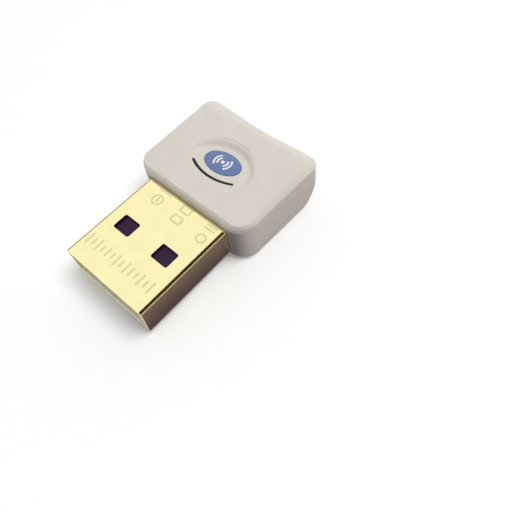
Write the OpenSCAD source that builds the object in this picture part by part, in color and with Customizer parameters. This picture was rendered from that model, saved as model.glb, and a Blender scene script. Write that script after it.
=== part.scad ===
// Short USB stick that holds a radio: a stamped plug, a moulded two-piece housing
// and the populated circuit board that joins them.
// X runs across the stick, the plug points to -Y, +Z is up, the origin is under the middle.

/* [Plug] */
// Width of the plug's metal shell
plug_w = 12.0; // [11.8:0.05:12.2]
// Height of the plug's metal shell
plug_h = 4.5; // [4.4:0.05:4.6]
// Length of plug that stands out of the housing
plug_out = 12.4; // [11.8:0.1:13.2]
// Length of plug shell held inside the housing
plug_inside = 3.2; // [2.8:0.1:3.5]
// Thickness of the shell's sheet metal
sheet_t = 0.3; // [0.25:0.01:0.35]
// Outer radius of the shell's four bends
bend_r = 0.45; // [0.4:0.05:0.7]
// Height of the plug's underside above the housing's underside
plug_lift = 0.65; // [0.6:0.05:0.9]

/* [Latch windows] */
// Width of each latch window in the shell
window_w = 2.4; // [2.1:0.05:2.6]
// Length of each latch window
window_l = 2.0; // [1.7:0.05:2.3]
// Distance from the middle of the plug to a window's centre
window_x = 3.0; // [2.6:0.05:3.3]
// Distance from the plug's tip to a window's centre
window_y = 6.2; // [5.9:0.05:6.6]
// Corner radius of a window
window_r = 0.25; // [0.15:0.05:0.5]

/* [Shell details] */
// Width of the open line where the rolled sheet meets under the plug
seam_gap = 0.06; // [0.04:0.01:0.12]
// Distance from the plug's tip to the first dovetail of the seam
dovetail_y = 3.2; // [2.5:0.1:4]
// Distance between the seam's dovetails
dovetail_pitch = 6.4; // [5.6:0.1:7]
// How far a dovetail reaches across the seam
dovetail_reach = 1.0; // [0.7:0.05:1.2]
// Width of a dovetail at its neck
dovetail_neck = 1.3; // [1:0.05:1.6]
// Width that a dovetail gains from its neck to its head
dovetail_flare = 0.7; // [0.4:0.05:1]
// Distance from the plug's tip to the pressed dimple in each side
dimple_y = 8.2; // [7:0.1:9.5]
// Height of that dimple above the plug's underside
dimple_z = 1.6; // [1.3:0.05:1.8]
// Radius of the dimple at the sheet's face
dimple_r = 0.45; // [0.3:0.05:0.6]
// Depth of the dimple
dimple_depth = 0.12; // [0.08:0.01:0.16]
// Length of the solder legs at the back of the shell
leg_l = 1.5; // [1.2:0.1:1.8]
// Height of the solder legs
leg_h = 1.9; // [1.6:0.1:2.2]

/* [Tongue and contacts] */
// Thickness of the plastic tongue
tongue_t = 1.95; // [1.8:0.05:2.05]
// Distance from the plug's tip to the tongue's front
tongue_in = 0.8; // [0.5:0.05:1.2]
// Bevel along the tongue's front lower edge
tongue_bevel = 0.4; // [0.2:0.05:0.6]
// Distance from the plug's tip to the back of the mouth
mouth_depth = 11.0; // [10.4:0.1:11.4]
// Width of a contact blade
blade_w = 1.0; // [0.9:0.05:1.05]
// Thickness of a contact blade
blade_t = 0.3; // [0.25:0.01:0.35]
// How far a blade stands out of the tongue
blade_proud = 0.05; // [0.03:0.01:0.1]
// Distance from the middle to a data contact
data_x = 1.0; // [0.95:0.01:1.05]
// Distance from the middle to a power contact
power_x = 3.5; // [3.4:0.05:3.6]
// Distance from the plug's tip to a power contact's front
power_in = 2.3; // [2:0.1:2.8]
// Distance from the plug's tip to a data contact's front
data_in = 3.3; // [3:0.1:3.8]
// Inner bend radius at a contact's front
blade_bend = 0.2; // [0.15:0.05:0.3]
// Length of contact that turns up into the tongue
blade_hook = 0.35; // [0.2:0.05:0.5]
// Width that the barbs add to each side of a contact
barb_w = 0.18; // [0.1:0.02:0.24]
// Length of a barb
barb_l = 0.8; // [0.5:0.05:1]
// Length of contact that lies on the board
tail_l = 1.5; // [1.2:0.1:1.7]

/* [Housing] */
// Width of the housing at its back corners
body_w = 17.2; // [16.8:0.1:18.6]
// How far each side draws in from the back corner to the plug
side_taper = 0.2; // [0:0.05:0.3]
// Length of the housing, from its front face to its back
body_l = 13.2; // [12.8:0.1:14.8]
// Height of the housing
body_h = 6.45; // [6.3:0.05:6.9]
// Thickness of the side and back walls
wall_t = 1.3; // [1.25:0.05:1.4]
// Thickness of the wall that the plug passes through
front_t = 1.2; // [1:0.05:1.4]
// Plan radius of the two corners beside the plug
front_corner_r = 2.4; // [2:0.1:3]
// Plan radius of the two back corners
back_corner_r = 1.3; // [1:0.1:2]
// Depth of the hollow sweep along the back
back_sweep = 0.3; // [0.1:0.05:0.4]
// Radius that turns the back into the underside
heel_r = 3.5; // [3.2:0.1:3.8]
// Clearance between the plug's shell and the housing
shell_gap = 0.05; // [0.03:0.01:0.1]

/* [Housing edges] */
// How far the walls lean in from the base to the bevel
wall_draft = 0.05; // [0:0.01:0.15]
// Height of the bevel round the top
bevel_h = 0.55; // [0.4:0.05:0.75]
// Width of that bevel beside the plug
bevel_front = 0.45; // [0.3:0.05:0.6]
// Width of that bevel at the back corners
bevel_back = 0.9; // [0.7:0.05:1.1]
// Width of that bevel along the back
bevel_rear = 1.3; // [1.1:0.05:1.5]
// Height of the rounding round the underside
base_round_h = 1.1; // [0.8:0.05:1.3]
// Width of that rounding
base_round_w = 0.65; // [0.4:0.05:0.75]

/* [Dish and light slit] */
// Half width of the dish in the top
dish_a = 5.1; // [4.7:0.1:5.4]
// Half length of the dish
dish_b = 4.3; // [4:0.05:4.5]
// Distance from the housing's front face to the dish's back rim
dish_back = 9.4; // [9.1:0.05:9.8]
// Depth of the dish at its back rim
dish_depth = 0.6; // [0.55:0.05:0.7]
// Slope of the dish's floor, which runs out towards the plug
dish_tilt = 6; // [5.5:0.25:6.25]
// Width of the wall round the dish
dish_wall = 1.25; // [1.1:0.05:1.6]
// Distance from the housing's front face to the middle of the light slit
slit_y = 3.7; // [3.2:0.05:4]
// Radius of the slit's curve
slit_r = 6.4; // [6:0.1:7]
// Width of the slit from end to end
slit_w = 6.0; // [5.4:0.1:6.4]
// Breadth of the slit
slit_t = 0.3; // [0.24:0.02:0.34]
// Depth of the smoked light guide's face below the housing's top
guide_in = 0.12; // [0.05:0.01:0.2]
// Clearance round the light guide
guide_gap = 0.02; // [0.01:0.01:0.04]
// How far the guide's flange reaches under the roof
guide_flange = 0.25; // [0.2:0.01:0.3]
// Thickness of that flange
guide_t = 0.3; // [0.2:0.05:0.4]

/* [Badge] */
// Width of the oval badge
badge_w = 4.9; // [4.4:0.1:5.1]
// Length of the oval badge
badge_l = 3.2; // [2.9:0.1:3.3]
// Distance from the dish's back rim to the badge's centre
badge_back = 3.2; // [3:0.05:3.5]
// Thickness of the badge
badge_t = 0.2; // [0.15:0.01:0.25]
// How far the badge stands out of the dish's floor
badge_proud = 0.05; // [0.02:0.01:0.08]
// Clearance round the badge
badge_gap = 0.04; // [0.02:0.01:0.08]

/* [Cover plate] */
// Breadth of the housing's rim round the cover plate
rim_t = 1.15; // [1.1:0.05:1.2]
// Clearance round the cover plate
plate_gap = 0.05; // [0.03:0.01:0.1]
// Breadth of the rails that carry the board
rail_w = 0.5; // [0.4:0.05:0.6]
// Distance from the board's side to a rail's centre
rail_inset = 1.0; // [0.9:0.05:1.1]
// Distance from a solder leg's end to the rail behind it
rail_clear = 0.7; // [0.5:0.05:0.9]
// Distance from the plate's back edge to the ends of the rails and hooks
plate_margin = 0.45; // [0.4:0.05:0.6]
// Radius of the locating peg on a rail
peg_r = 0.3; // [0.25:0.05:0.35]
// Clearance round a locating peg
peg_gap = 0.08; // [0.05:0.01:0.12]
// Length of a snap hook along the plate's side
hook_l = 1.8; // [1.4:0.1:2]
// Thickness of a snap hook
hook_t = 0.55; // [0.45:0.05:0.6]
// Height of a snap hook's catch above the plate
hook_rise = 2.7; // [2.4:0.1:3]
// How far the catch reaches into the housing's wall
hook_bite = 0.25; // [0.2:0.05:0.3]
// Height of the catch's slope
hook_slope = 0.7; // [0.5:0.05:0.8]
// Clearance round a snap hook
hook_gap = 0.06; // [0.04:0.01:0.1]
// Width of the ribs that press on the board
rib_w = 0.7; // [0.6:0.05:0.8]
// Length of those ribs
rib_l = 0.9; // [0.7:0.05:1]
// Distance from the board's back edge to the start of the back ribs
rib_back = 1.9; // [1.6:0.1:2.2]

/* [Circuit board] */
// Thickness of the board
board_t = 0.8; // [0.7:0.05:0.9]
// Clearance between the board's edge and the housing's wall
board_gap = 0.25; // [0.2:0.05:0.35]
// Corner radius of the board
board_r = 0.8; // [0.4:0.1:1]
// Clearance round a solder leg in its slot
leg_gap = 0.08; // [0.05:0.01:0.12]
// Height of the solder round a contact's tail
solder_h = 0.34; // [0.25:0.01:0.4]
// Spread of the solder on the board
solder_w = 0.28; // [0.2:0.02:0.32]

/* [Parts on the board] */
// Side of the radio chip
radio_w = 4.0; // [3.6:0.1:4.2]
// Height of the radio chip
radio_h = 0.8; // [0.6:0.05:1]
// Width of the crystal's can
crystal_w = 2.5; // [2:0.1:2.6]
// Length of the crystal's can
crystal_l = 3.2; // [2.5:0.1:3.3]
// Height of the crystal's can
crystal_h = 0.7; // [0.5:0.05:0.9]
// Length of the ceramic antenna
antenna_w = 3.2; // [2.6:0.1:3.4]
// Depth of the ceramic antenna
antenna_l = 1.6; // [1.2:0.1:1.7]
// Height of the ceramic antenna
antenna_h = 1.1; // [0.8:0.05:1.3]
// Width of the status light
led_w = 1.6; // [1.4:0.1:1.8]
// Depth of the status light
led_l = 0.8; // [0.7:0.05:0.9]
// Height of the status light's base
led_h = 0.3; // [0.25:0.05:0.4]
// Length of a small chip capacitor or resistor
chip_l = 1.0; // [0.9:0.05:1.05]
// Width of a small chip capacitor or resistor
chip_w = 0.5; // [0.4:0.05:0.55]
// Height of a small chip resistor
resistor_h = 0.35; // [0.3:0.05:0.4]
// Height of a small chip capacitor
capacitor_h = 0.5; // [0.4:0.05:0.55]
// Length of the ferrite bead
bead_l = 1.6; // [1.4:0.1:1.7]
// Width and height of the ferrite bead
bead_w = 0.8; // [0.6:0.05:0.85]
// Length of the antenna's matching coil
coil_l = 1.2; // [1:0.05:1.3]
// Width and height of the matching coil
coil_w = 0.75; // [0.6:0.05:0.8]
// Height of the packages that hang under the board
package_h = 1.0; // [0.8:0.05:1.05]
// Width of the regulator and of the surge protector
small_w = 2.9; // [2.6:0.1:3]
// Depth of the regulator's and the surge protector's bodies
small_l = 1.6; // [1.4:0.1:1.7]
// Side of the memory chip's body
memory_w = 3.0; // [2.6:0.1:3.2]
// Distance between the resistors
resistor_pitch = 1.1; // [0.9:0.05:1.2]

/* [Hidden] */
$fn = 48;
// Small overlap that lets a cut pass right through a face
eps = 0.01;

// Places along the stick
tip_y = -(plug_out + body_l) / 2;
face_y = tip_y + plug_out;
back_y = face_y + body_l;
heel_y = back_y - heel_r;
shell_l = plug_out + plug_inside;

// Heights
plate_t = plug_lift - shell_gap;
ceiling_z = plug_lift + plug_h + shell_gap;
tongue_top = plug_h - sheet_t - shell_gap;
tongue_low = tongue_top - tongue_t;
blade_low = tongue_low - blade_proud;
board_top = plug_lift + blade_low;
board_low = board_top - board_t;

// Inside of the housing
cavity_w = body_w - 2 * wall_t;
cavity_y = face_y + front_t;
plate_back = heel_y - rim_t;

// Board outline: it stops short of the rounded back of the cavity
board_w = cavity_w - 2 * board_gap;
board_front = face_y + plug_inside + 2 * shell_gap;
heel_rise = heel_r - board_low;
board_back = heel_y + sqrt(pow(heel_r - wall_t, 2) - pow(heel_rise, 2)) - board_gap;
board_mid = (board_front + board_back) / 2;
leg_x = (plug_w - sheet_t) / 2;
leg_end = face_y + plug_inside + leg_l;
leg_mid = (board_top + board_low) / 2 - plug_lift;

// Rails and hooks of the cover plate: both end at the same distance from its back edge
rail_x = board_w / 2 - rail_inset;
rail_y = leg_end + rail_clear;
rail_l = plate_back - plate_margin - rail_y;
hook_y = plate_back - plate_margin - hook_l / 2;

// Parts side by side between the ribs that press on the board, all with the same gap
row_w = cavity_w - 2 * rib_w;
row_gap = (row_w - antenna_w - chip_w - radio_w - crystal_w) / 5;
antenna_x = -row_w / 2 + row_gap + antenna_w / 2;
antenna_y = board_back - antenna_l / 2 - 0.3;
capacitor_x = antenna_x + (antenna_w + chip_w) / 2 + row_gap;
radio_x = capacitor_x + (chip_w + radio_w) / 2 + row_gap;
crystal_x = radio_x + (radio_w + crystal_w) / 2 + row_gap;

// Front of the tails' free ends and the front row of parts behind them
tail_end = board_front + tail_l;
led_y = tail_end + 0.85;
led_side = led_w / 2 + 1.1;
radio_y = board_mid + 1.15;
first_resistor_x = -row_w / 2 + 1.25;
small_pitch = 0.95;
memory_pitch = 0.65;

// Facets in the housing's rounded corners, along its back and up its edges
corner_steps = 10;
back_steps = 14;
edge_steps = 7;
bevel_power = 1.3;

// Plan shapes with true arcs
module rounded_rect(w, l, r) {
    square([w - 2 * r, l], center = true);
    square([w, l - 2 * r], center = true);
    for (sx = [-1, 1], sy = [-1, 1])
        translate([sx * (w / 2 - r), sy * (l / 2 - r)]) circle(r);
}

// Stands a profile drawn in X and Z upright and runs it back along +Y
module run_back(length) {
    translate([0, length, 0]) rotate([90, 0, 0]) linear_extrude(length) children();
}

// Runs a profile drawn in Y and Z across the stick, centred on X
module run_across(width) {
    rotate([90, 0, 90]) translate([0, 0, -width / 2]) linear_extrude(width) children();
}

// The plug's own frame: its tip at y = 0, its underside at z = 0
module at_plug() {
    translate([0, tip_y, plug_lift]) children();
}

// The dish's own frame: the middle of its back rim, tilted with its floor
module at_dish() {
    translate([0, face_y + dish_back, body_h]) rotate([-dish_tilt, 0, 0]) children();
}

// Housing form

// Points of one rounded corner, from the angle start through a quarter turn
function corner(x, y, r, start) =
    [for (i = [0:corner_steps]) [x + r * cos(start + 90 * i / corner_steps),
                                 y + r * sin(start + 90 * i / corner_steps)]];

// Plan outline of the housing at one height: side_f and side_b narrow it at the front and
// the back, front_in and back_in move its ends inwards
function outline(side_f, side_b, front_in, back_in) =
    let (
        xf = body_w / 2 - side_taper - side_f - front_corner_r,
        xb = body_w / 2 - side_b - back_corner_r,
        yf = face_y + front_in + front_corner_r,
        yb = back_y - back_in - back_corner_r
    )
    concat(
        corner(xb, yb, back_corner_r, 0),
        [for (i = [1:back_steps - 1])
            let (t = i / back_steps)
            [xb * (1 - 2 * t), yb + back_corner_r - back_sweep * (1 - cos(360 * t)) / 2]],
        corner(-xb, yb, back_corner_r, 90),
        corner(-xf, yf, front_corner_r, 180),
        corner(xf, yf, front_corner_r, 270)
    );

// How far the rounded heel draws the back in at height z
function heel_in(z) = z < heel_r ? heel_r - sqrt(pow(heel_r, 2) - pow(heel_r - z, 2)) : 0;

// How far the walls have leant in at height z
function draft_in(z) = wall_draft * (z - base_round_h) / (body_h - bevel_h - base_round_h);

// Each ring is [height, outline]: rounded base, heel, then the bevel round the top
base_rings = [for (i = [0:edge_steps])
    let (a = 90 * i / edge_steps, z = base_round_h * (1 - cos(a)), in = base_round_w * (1 - sin(a)))
    [z, outline(in, in, in, heel_in(z))]];
heel_rings = [for (i = [1:edge_steps])
    let (z = base_round_h + (heel_r - base_round_h) * i / edge_steps, lean = draft_in(z))
    [z, outline(lean, lean, lean, heel_in(z))]];
bevel_rings = [for (i = [0:edge_steps])
    let (
        a = 90 * i / edge_steps,
        in = 1 - pow(cos(a), 2 / bevel_power),
        z = body_h - bevel_h * (1 - pow(sin(a), 2 / bevel_power)),
        side_f = wall_draft + bevel_front * in,
        side_b = wall_draft + bevel_back * in
    )
    [z, outline(side_f, side_b, side_f, wall_draft + bevel_rear * in)]];

// Skins a stack of outlines that have the same number of points
module loft(rings) {
    n = len(rings[0][1]);
    last = len(rings) - 1;
    polyhedron(
        points = [for (ring = rings) for (p = ring[1]) [p.x, p.y, ring[0]]],
        faces = concat(
            [[for (j = [0:n - 1]) j]],
            [for (i = [0:last - 1]) for (j = [0:n - 1])
                let (k = (j + 1) % n)
                [i * n + j, (i + 1) * n + j, (i + 1) * n + k, i * n + k]],
            [[for (j = [n - 1:-1:0]) last * n + j]]
        )
    );
}

module housing_form() {
    loft(concat(base_rings, heel_rings, bevel_rings));
}

// The dish's cutter: a flat oval floor, a wall with a soft foot and rim, open above
module dish_cutter() {
    steps = 8;
    floor_r = dish_a - dish_wall;
    wall = [for (i = [0:steps])
        [floor_r + dish_wall * i / steps, -dish_depth * (1 + cos(180 * i / steps)) / 2]];
    at_dish() translate([0, -dish_b, 0]) scale([1, dish_b / dish_a, 1])
        rotate_extrude($fn = 96)
            polygon(concat([[0, -dish_depth]], wall, [[dish_a, body_h], [0, body_h]]));
}

// Oval disc in the dish's frame, from the height z upwards
module badge_disc(grow, z, height) {
    w = badge_w + 2 * grow;
    at_dish() translate([0, -badge_back, z - dish_depth])
        scale([1, (badge_l + 2 * grow) / w, 1]) cylinder(h = height, d = w, $fn = 72);
}

// Curved slot with round ends, drawn in plan, larger by grow all round
module slit_plan(grow) {
    half = asin(slit_w / 2 / slit_r);
    reach = 2 * slit_r;
    edge = slit_t / 2 + grow;
    translate([0, face_y + slit_y + slit_r]) {
        intersection() {
            difference() {
                circle(slit_r + edge, $fn = 180);
                circle(slit_r - edge, $fn = 180);
            }
            polygon([[0, 0], [-reach * tan(half), -reach], [reach * tan(half), -reach]]);
        }
        for (side = [-1, 1])
            rotate(side * half) translate([0, -slit_r]) circle(edge, $fn = 24);
    }
}

// Room inside the housing, with a rounded back that follows the heel
module cavity() {
    inner_l = back_y - wall_t - cavity_y;
    inner_r = heel_r - wall_t;
    intersection() {
        translate([0, cavity_y + inner_l / 2, plate_t])
            linear_extrude(ceiling_z - plate_t)
                rounded_rect(cavity_w, inner_l, back_corner_r - wall_t / 2);
        run_across(cavity_w) {
            translate([cavity_y, plate_t]) square([heel_y - cavity_y, ceiling_z - plate_t]);
            translate([cavity_y, heel_r]) square([inner_l, ceiling_z - heel_r]);
            translate([heel_y, heel_r]) circle(inner_r);
        }
    }
}

// Room for the shell's legs and their solder, however narrow the housing is set
module plug_bay() {
    half = plug_w / 2 + leg_gap + solder_w + shell_gap;
    translate([-half, cavity_y, plate_t])
        cube([2 * half, leg_end + solder_w - cavity_y, ceiling_z - plate_t]);
}

// Plan of the cover plate, or of the opening that takes it
module plate_plan(grow) {
    y0 = face_y + rim_t - grow;
    y1 = plate_back + grow;
    translate([0, (y0 + y1) / 2])
        rounded_rect(body_w - 2 * rim_t + 2 * grow, y1 - y0, front_corner_r - rim_t);
}

// Snap hook on the right, drawn in X and Z from the cover plate's top face
module hook_profile(grow) {
    outer = cavity_w / 2 - hook_gap;
    catch_x = cavity_w / 2 + hook_bite;
    top = plate_t + hook_rise + hook_slope;
    polygon([
        [outer - hook_t - grow, plate_t - eps],
        [outer + grow, plate_t - eps],
        [outer + grow, plate_t + hook_rise - grow],
        [catch_x + grow, plate_t + hook_rise - grow],
        [catch_x + grow, plate_t + hook_rise + grow],
        [outer + grow, top + grow],
        [outer - hook_t - grow, top + grow],
    ]);
}

// Both hooks, or the room that they need
module hooks(grow) {
    for (side = [0, 1])
        mirror([side, 0, 0])
            translate([0, hook_y - hook_l / 2 - grow, 0])
                run_back(hook_l + 2 * grow) hook_profile(grow);
}

// Ribs under the roof that hold the board down
module press_ribs() {
    rib_low = board_top + shell_gap;
    difference() {
        for (side = [-1, 1], y = [rail_y - rib_l / 2, board_back - rib_back])
            translate([side * (cavity_w / 2 - rib_w / 2 + eps) - rib_w / 2, y, rib_low])
                cube([rib_w, rib_l, ceiling_z - rib_low + eps]);
        hooks(hook_gap);
    }
}

module housing_top() color("#e6dfd6") {
    difference() {
        housing_form();
        cavity();
        plug_bay();
        dish_cutter();
        badge_disc(badge_gap, badge_proud - badge_t, badge_t);
        translate([0, 0, ceiling_z - eps]) linear_extrude(body_h - ceiling_z + 1) slit_plan(0);
        translate([0, 0, -eps]) linear_extrude(plate_t + eps) plate_plan(plate_gap);
        translate([0, face_y - eps, plug_lift + plug_h / 2])
            run_back(front_t + 2 * eps)
                rounded_rect(plug_w + 2 * shell_gap, plug_h + 2 * shell_gap, bend_r + shell_gap);
        hooks(hook_gap);
    }
    press_ribs();
}

module housing_bottom() color("#ddd6cd") {
    difference() {
        union() {
            linear_extrude(plate_t) plate_plan(0);
            for (side = [-1, 1])
                translate([side * rail_x - rail_w / 2, rail_y, plate_t - eps])
                    cube([rail_w, rail_l, board_low - plate_t + eps]);
        }
    }
    for (side = [-1, 1])
        translate([side * rail_x, rail_y + rail_w, plate_t])
            cylinder(h = board_top - plate_t - shell_gap, r = peg_r);
    hooks(0);
}

module badge() color("#6d84c4")
    badge_disc(0, badge_proud - badge_t, badge_t);

// Smoked insert that fills the slit, held by a flange under the roof
module light_guide() color("#1c1a18") {
    translate([0, 0, ceiling_z - guide_t]) linear_extrude(guide_t) slit_plan(guide_flange);
    translate([0, 0, ceiling_z - eps])
        linear_extrude(body_h - ceiling_z - guide_in + eps) slit_plan(-guide_gap);
}

// Plug

// Half of the shell's floor with its dovetails, drawn in plan, larger by grow all round
module seam_half(grow) {
    translate([-grow, -eps]) square([plug_w, shell_l + 2 * eps]);
    for (y = [dovetail_y, dovetail_y + dovetail_pitch]) {
        neck = dovetail_neck / 2 + grow;
        head = (dovetail_neck + dovetail_flare) / 2 + grow;
        translate([0, y])
            polygon([[seam_gap, -neck], [-dovetail_reach - grow, -head],
                     [-dovetail_reach - grow, head], [seam_gap, neck]]);
    }
}

module seam_slot() {
    translate([0, 0, -eps]) linear_extrude(sheet_t + 2 * eps)
        difference() {
            seam_half(seam_gap / 2);
            seam_half(-seam_gap / 2);
        }
}

module window_cuts() {
    for (side = [-1, 1], z = [-eps, plug_h - sheet_t - eps])
        translate([side * window_x, window_y, z])
            linear_extrude(sheet_t + 2 * eps) rounded_rect(window_w, window_l, window_r);
}

// Ball whose cap is the dimple's hollow, or its raised back on the inside of the sheet
module dimple_ball(face_x) {
    ball_r = (pow(dimple_r, 2) + pow(dimple_depth, 2)) / (2 * dimple_depth);
    translate([face_x + ball_r - dimple_depth, dimple_y, dimple_z]) sphere(ball_r, $fn = 64);
}

module plug_shell() color("#efe3ae") at_plug() {
    inner_w = plug_w - 2 * sheet_t;
    difference() {
        union() {
            difference() {
                translate([0, 0, plug_h / 2]) run_back(shell_l) rounded_rect(plug_w, plug_h, bend_r);
                translate([0, -eps, plug_h / 2])
                    run_back(shell_l + 2 * eps)
                        rounded_rect(inner_w, plug_h - 2 * sheet_t, bend_r - sheet_t);
            }
            for (side = [0, 1])
                mirror([side, 0, 0])
                    intersection() {
                        dimple_ball(inner_w / 2);
                        translate([0, 0, sheet_t]) cube([plug_w / 2 - sheet_t / 2, shell_l, plug_h / 2]);
                    }
        }
        window_cuts();
        seam_slot();
        for (side = [0, 1])
            mirror([side, 0, 0]) dimple_ball(plug_w / 2);
    }
    for (side = [-1, 1])
        translate([side * leg_x - sheet_t / 2, shell_l - eps, leg_mid - leg_h / 2])
            cube([sheet_t, leg_l + eps, leg_h]);
}

// Contact blade in the plug's frame: hook, blade, barbs and tail, larger by grow all round
module contact_form(x, front, grow) {
    outer = blade_t + blade_bend;
    tail_y = plug_out + plug_inside + 2 * shell_gap + tail_l;
    barb_y = (mouth_depth + shell_l) / 2;
    half = blade_w / 2 + grow;
    translate([x, 0, 0]) {
        run_across(2 * half) {
            translate([front + outer, blade_low + outer]) intersection() {
                difference() {
                    circle(outer + grow);
                    circle(blade_bend - grow);
                }
                translate([-2 * outer, -2 * outer]) square(2 * outer);
            }
            translate([front - grow, blade_low + outer - eps])
                square([blade_t + 2 * grow, blade_hook + grow + eps]);
            translate([front + outer - eps, blade_low - grow])
                square([tail_y - front - outer + eps + grow, blade_t + 2 * grow]);
        }
        translate([0, barb_y, blade_low - grow]) linear_extrude(blade_t + 2 * grow)
            polygon([[-half, 0], [-half - barb_w, barb_l], [-half, barb_l + grow],
                     [half, barb_l + grow], [half + barb_w, barb_l], [half, 0]]);
    }
}

module contact(x, front) color("#d9b65a") at_plug() contact_form(x, front, 0);

module plug_insulator() color("#3a2a44") at_plug() {
    inner_w = plug_w - 2 * sheet_t - 2 * shell_gap - 2 * dimple_depth;
    block_low = sheet_t + shell_gap;
    contact_gap = 0.02;
    difference() {
        union() {
            run_across(inner_w)
                polygon([
                    [tongue_in + tongue_bevel, tongue_low], [tongue_in, tongue_low + tongue_bevel],
                    [tongue_in, tongue_top], [mouth_depth + eps, tongue_top],
                    [mouth_depth + eps, tongue_low],
                ]);
            translate([-inner_w / 2, mouth_depth, block_low])
                cube([inner_w, shell_l - mouth_depth - shell_gap, tongue_top - block_low]);
        }
        contact_form(-power_x, power_in, contact_gap);
        contact_form(-data_x, data_in, contact_gap);
        contact_form(data_x, data_in, contact_gap);
        contact_form(power_x, power_in, contact_gap);
    }
}

module contact_vbus() contact(power_x, power_in);
module contact_data_minus() contact(data_x, data_in);
module contact_data_plus() contact(-data_x, data_in);
module contact_ground() contact(-power_x, power_in);

// Solder: a hipped mound over a box of w by l, spreading by solder_w at the board
module solder_mound(w, l, height) {
    intersection() {
        translate([0, -l / 2 - solder_w, 0]) run_back(l + 2 * solder_w)
            polygon([[-w / 2 - solder_w, 0], [w / 2 + solder_w, 0], [w / 2, height], [-w / 2, height]]);
        run_across(w + 2 * solder_w)
            polygon([[-l / 2 - solder_w, 0], [l / 2 + solder_w, 0], [l / 2, height], [-l / 2, height]]);
    }
}

module contact_solder() color("#c9ccd0") {
    mound_l = tail_l - 2 * solder_w;
    for (x = [-power_x, -data_x, data_x, power_x])
        difference() {
            translate([x, tail_end - mound_l / 2, board_top])
                solder_mound(blade_w, mound_l, solder_h);
            translate([x - blade_w / 2, board_front - 1, board_top])
                cube([blade_w, tail_l + 1, blade_t]);
        }
}

module leg_solder() color("#c9ccd0") {
    mound_l = leg_l - 2 * solder_w;
    for (side = [-1, 1])
        difference() {
            translate([side * leg_x, leg_end - mound_l / 2, board_top])
                solder_mound(sheet_t + 2 * leg_gap, mound_l, leg_h / 2 - board_t / 2);
            translate([side * leg_x - sheet_t / 2, board_front - 1, board_top - eps])
                cube([sheet_t, leg_end - board_front + 1, leg_h]);
        }
}

// Board

module board_plan() {
    length = board_back - board_front;
    leg_slot = leg_l - 2 * shell_gap + leg_gap;
    notch_w = board_gap + hook_gap + hook_t + hook_gap;
    difference() {
        translate([0, board_front + length / 2]) rounded_rect(board_w, length, board_r);
        for (side = [-1, 1]) {
            translate([side * leg_x - sheet_t / 2 - leg_gap, board_front - eps])
                square([sheet_t + 2 * leg_gap, leg_slot + eps]);
            translate([side * (cavity_w / 2) - notch_w, hook_y - hook_l / 2 - hook_gap])
                square([2 * notch_w, hook_l + 2 * hook_gap]);
            translate([side * rail_x, rail_y + rail_w]) circle(peg_r + peg_gap);
        }
    }
}

module circuit_board() color("#1f5f3f")
    translate([0, 0, board_low]) linear_extrude(board_t) board_plan();

// Sets a part on the board's top face
module on_board(x, y, turn = 0) {
    translate([x, y, board_top]) rotate(turn) children();
}

// Hangs a part from the board's lower face
module under_board(x, y, turn = 0) {
    translate([x, y, board_low]) rotate(turn) mirror([0, 0, 1]) children();
}

// Flat square package with a row of terminals along each side
module radio_chip() color("#26262a") on_board(radio_x, radio_y) {
    terminals = 6;
    pitch = 0.5;
    stand = 0.05;
    dot_r = 0.22;
    difference() {
        translate([-radio_w / 2, -radio_w / 2, stand]) cube([radio_w, radio_w, radio_h - stand]);
        translate([-radio_w / 2 + 3 * dot_r, radio_w / 2 - 3 * dot_r, radio_h - stand])
            cylinder(h = 1, r = dot_r);
    }
    for (turn = [0:90:270], i = [0:terminals - 1])
        rotate(turn) translate([(i - (terminals - 1) / 2) * pitch - pitch / 4, radio_w / 2 - 0.4, 0])
            cube([pitch / 2, 0.4, 0.2]);
}

// Ceramic base with a drawn metal lid
module crystal() color("#b9bcc2") on_board(crystal_x, radio_y - 0.2) {
    lid_in = 0.15;
    base_h = crystal_h / 2;
    translate([-crystal_w / 2, -crystal_l / 2, 0]) cube([crystal_w, crystal_l, base_h]);
    translate([0, 0, base_h - eps]) linear_extrude(crystal_h - base_h + eps)
        rounded_rect(crystal_w - 2 * lid_in, crystal_l - 2 * lid_in, 0.3);
}

// Ceramic block with a metal cap at each end, along X
module end_capped(length, width, height, cap) {
    lip = 0.03;
    translate([-length / 2 + cap / 2, -width / 2 + lip, lip])
        cube([length - cap, width - 2 * lip, height - 2 * lip]);
    for (side = [-1, 1])
        translate([side * (length - cap) / 2 - cap / 2, -width / 2, 0]) cube([cap, width, height]);
}

module antenna() color("#e9e6df") on_board(antenna_x, antenna_y)
    end_capped(antenna_w, antenna_l, antenna_h, 0.5);

module matching_coil() color("#5b6f9a") on_board(antenna_x + 0.9, antenna_y - antenna_l / 2 - 1.0, 90)
    end_capped(coil_l, coil_w, coil_w, 0.25);

// Small base with two terminals and a clear lens moulded over its middle
module status_light() color("#f2f0dc") on_board(0, led_y) {
    lens_w = led_w / 2;
    lens_h = 0.35;
    end_capped(led_w, led_l, led_h, 0.3);
    translate([-lens_w / 2, -led_l / 2 + 0.05, led_h - 0.05])
        cube([lens_w, led_l - 0.1, lens_h]);
}

module ferrite_bead() color("#3b3d42") on_board(board_w / 2 - bead_l / 2 - 0.9, led_y + 0.3)
    end_capped(bead_l, bead_w, bead_w, 0.3);

module resistors() color("#2b2b30")
    for (i = [0:2])
        on_board(first_resistor_x + i * resistor_pitch, led_y + 0.2, 90)
            end_capped(chip_l, chip_w, resistor_h, 0.2);

module capacitors() color("#a98a63") {
    for (i = [-1:1])
        on_board(capacitor_x, radio_y + i * 1.2 * chip_l, 90)
            end_capped(chip_l, chip_w, capacitor_h, 0.22);
    for (x = [led_side, led_side + chip_l])
        on_board(x, led_y, 90) end_capped(chip_l, chip_w, capacitor_h, 0.22);
}

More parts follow.
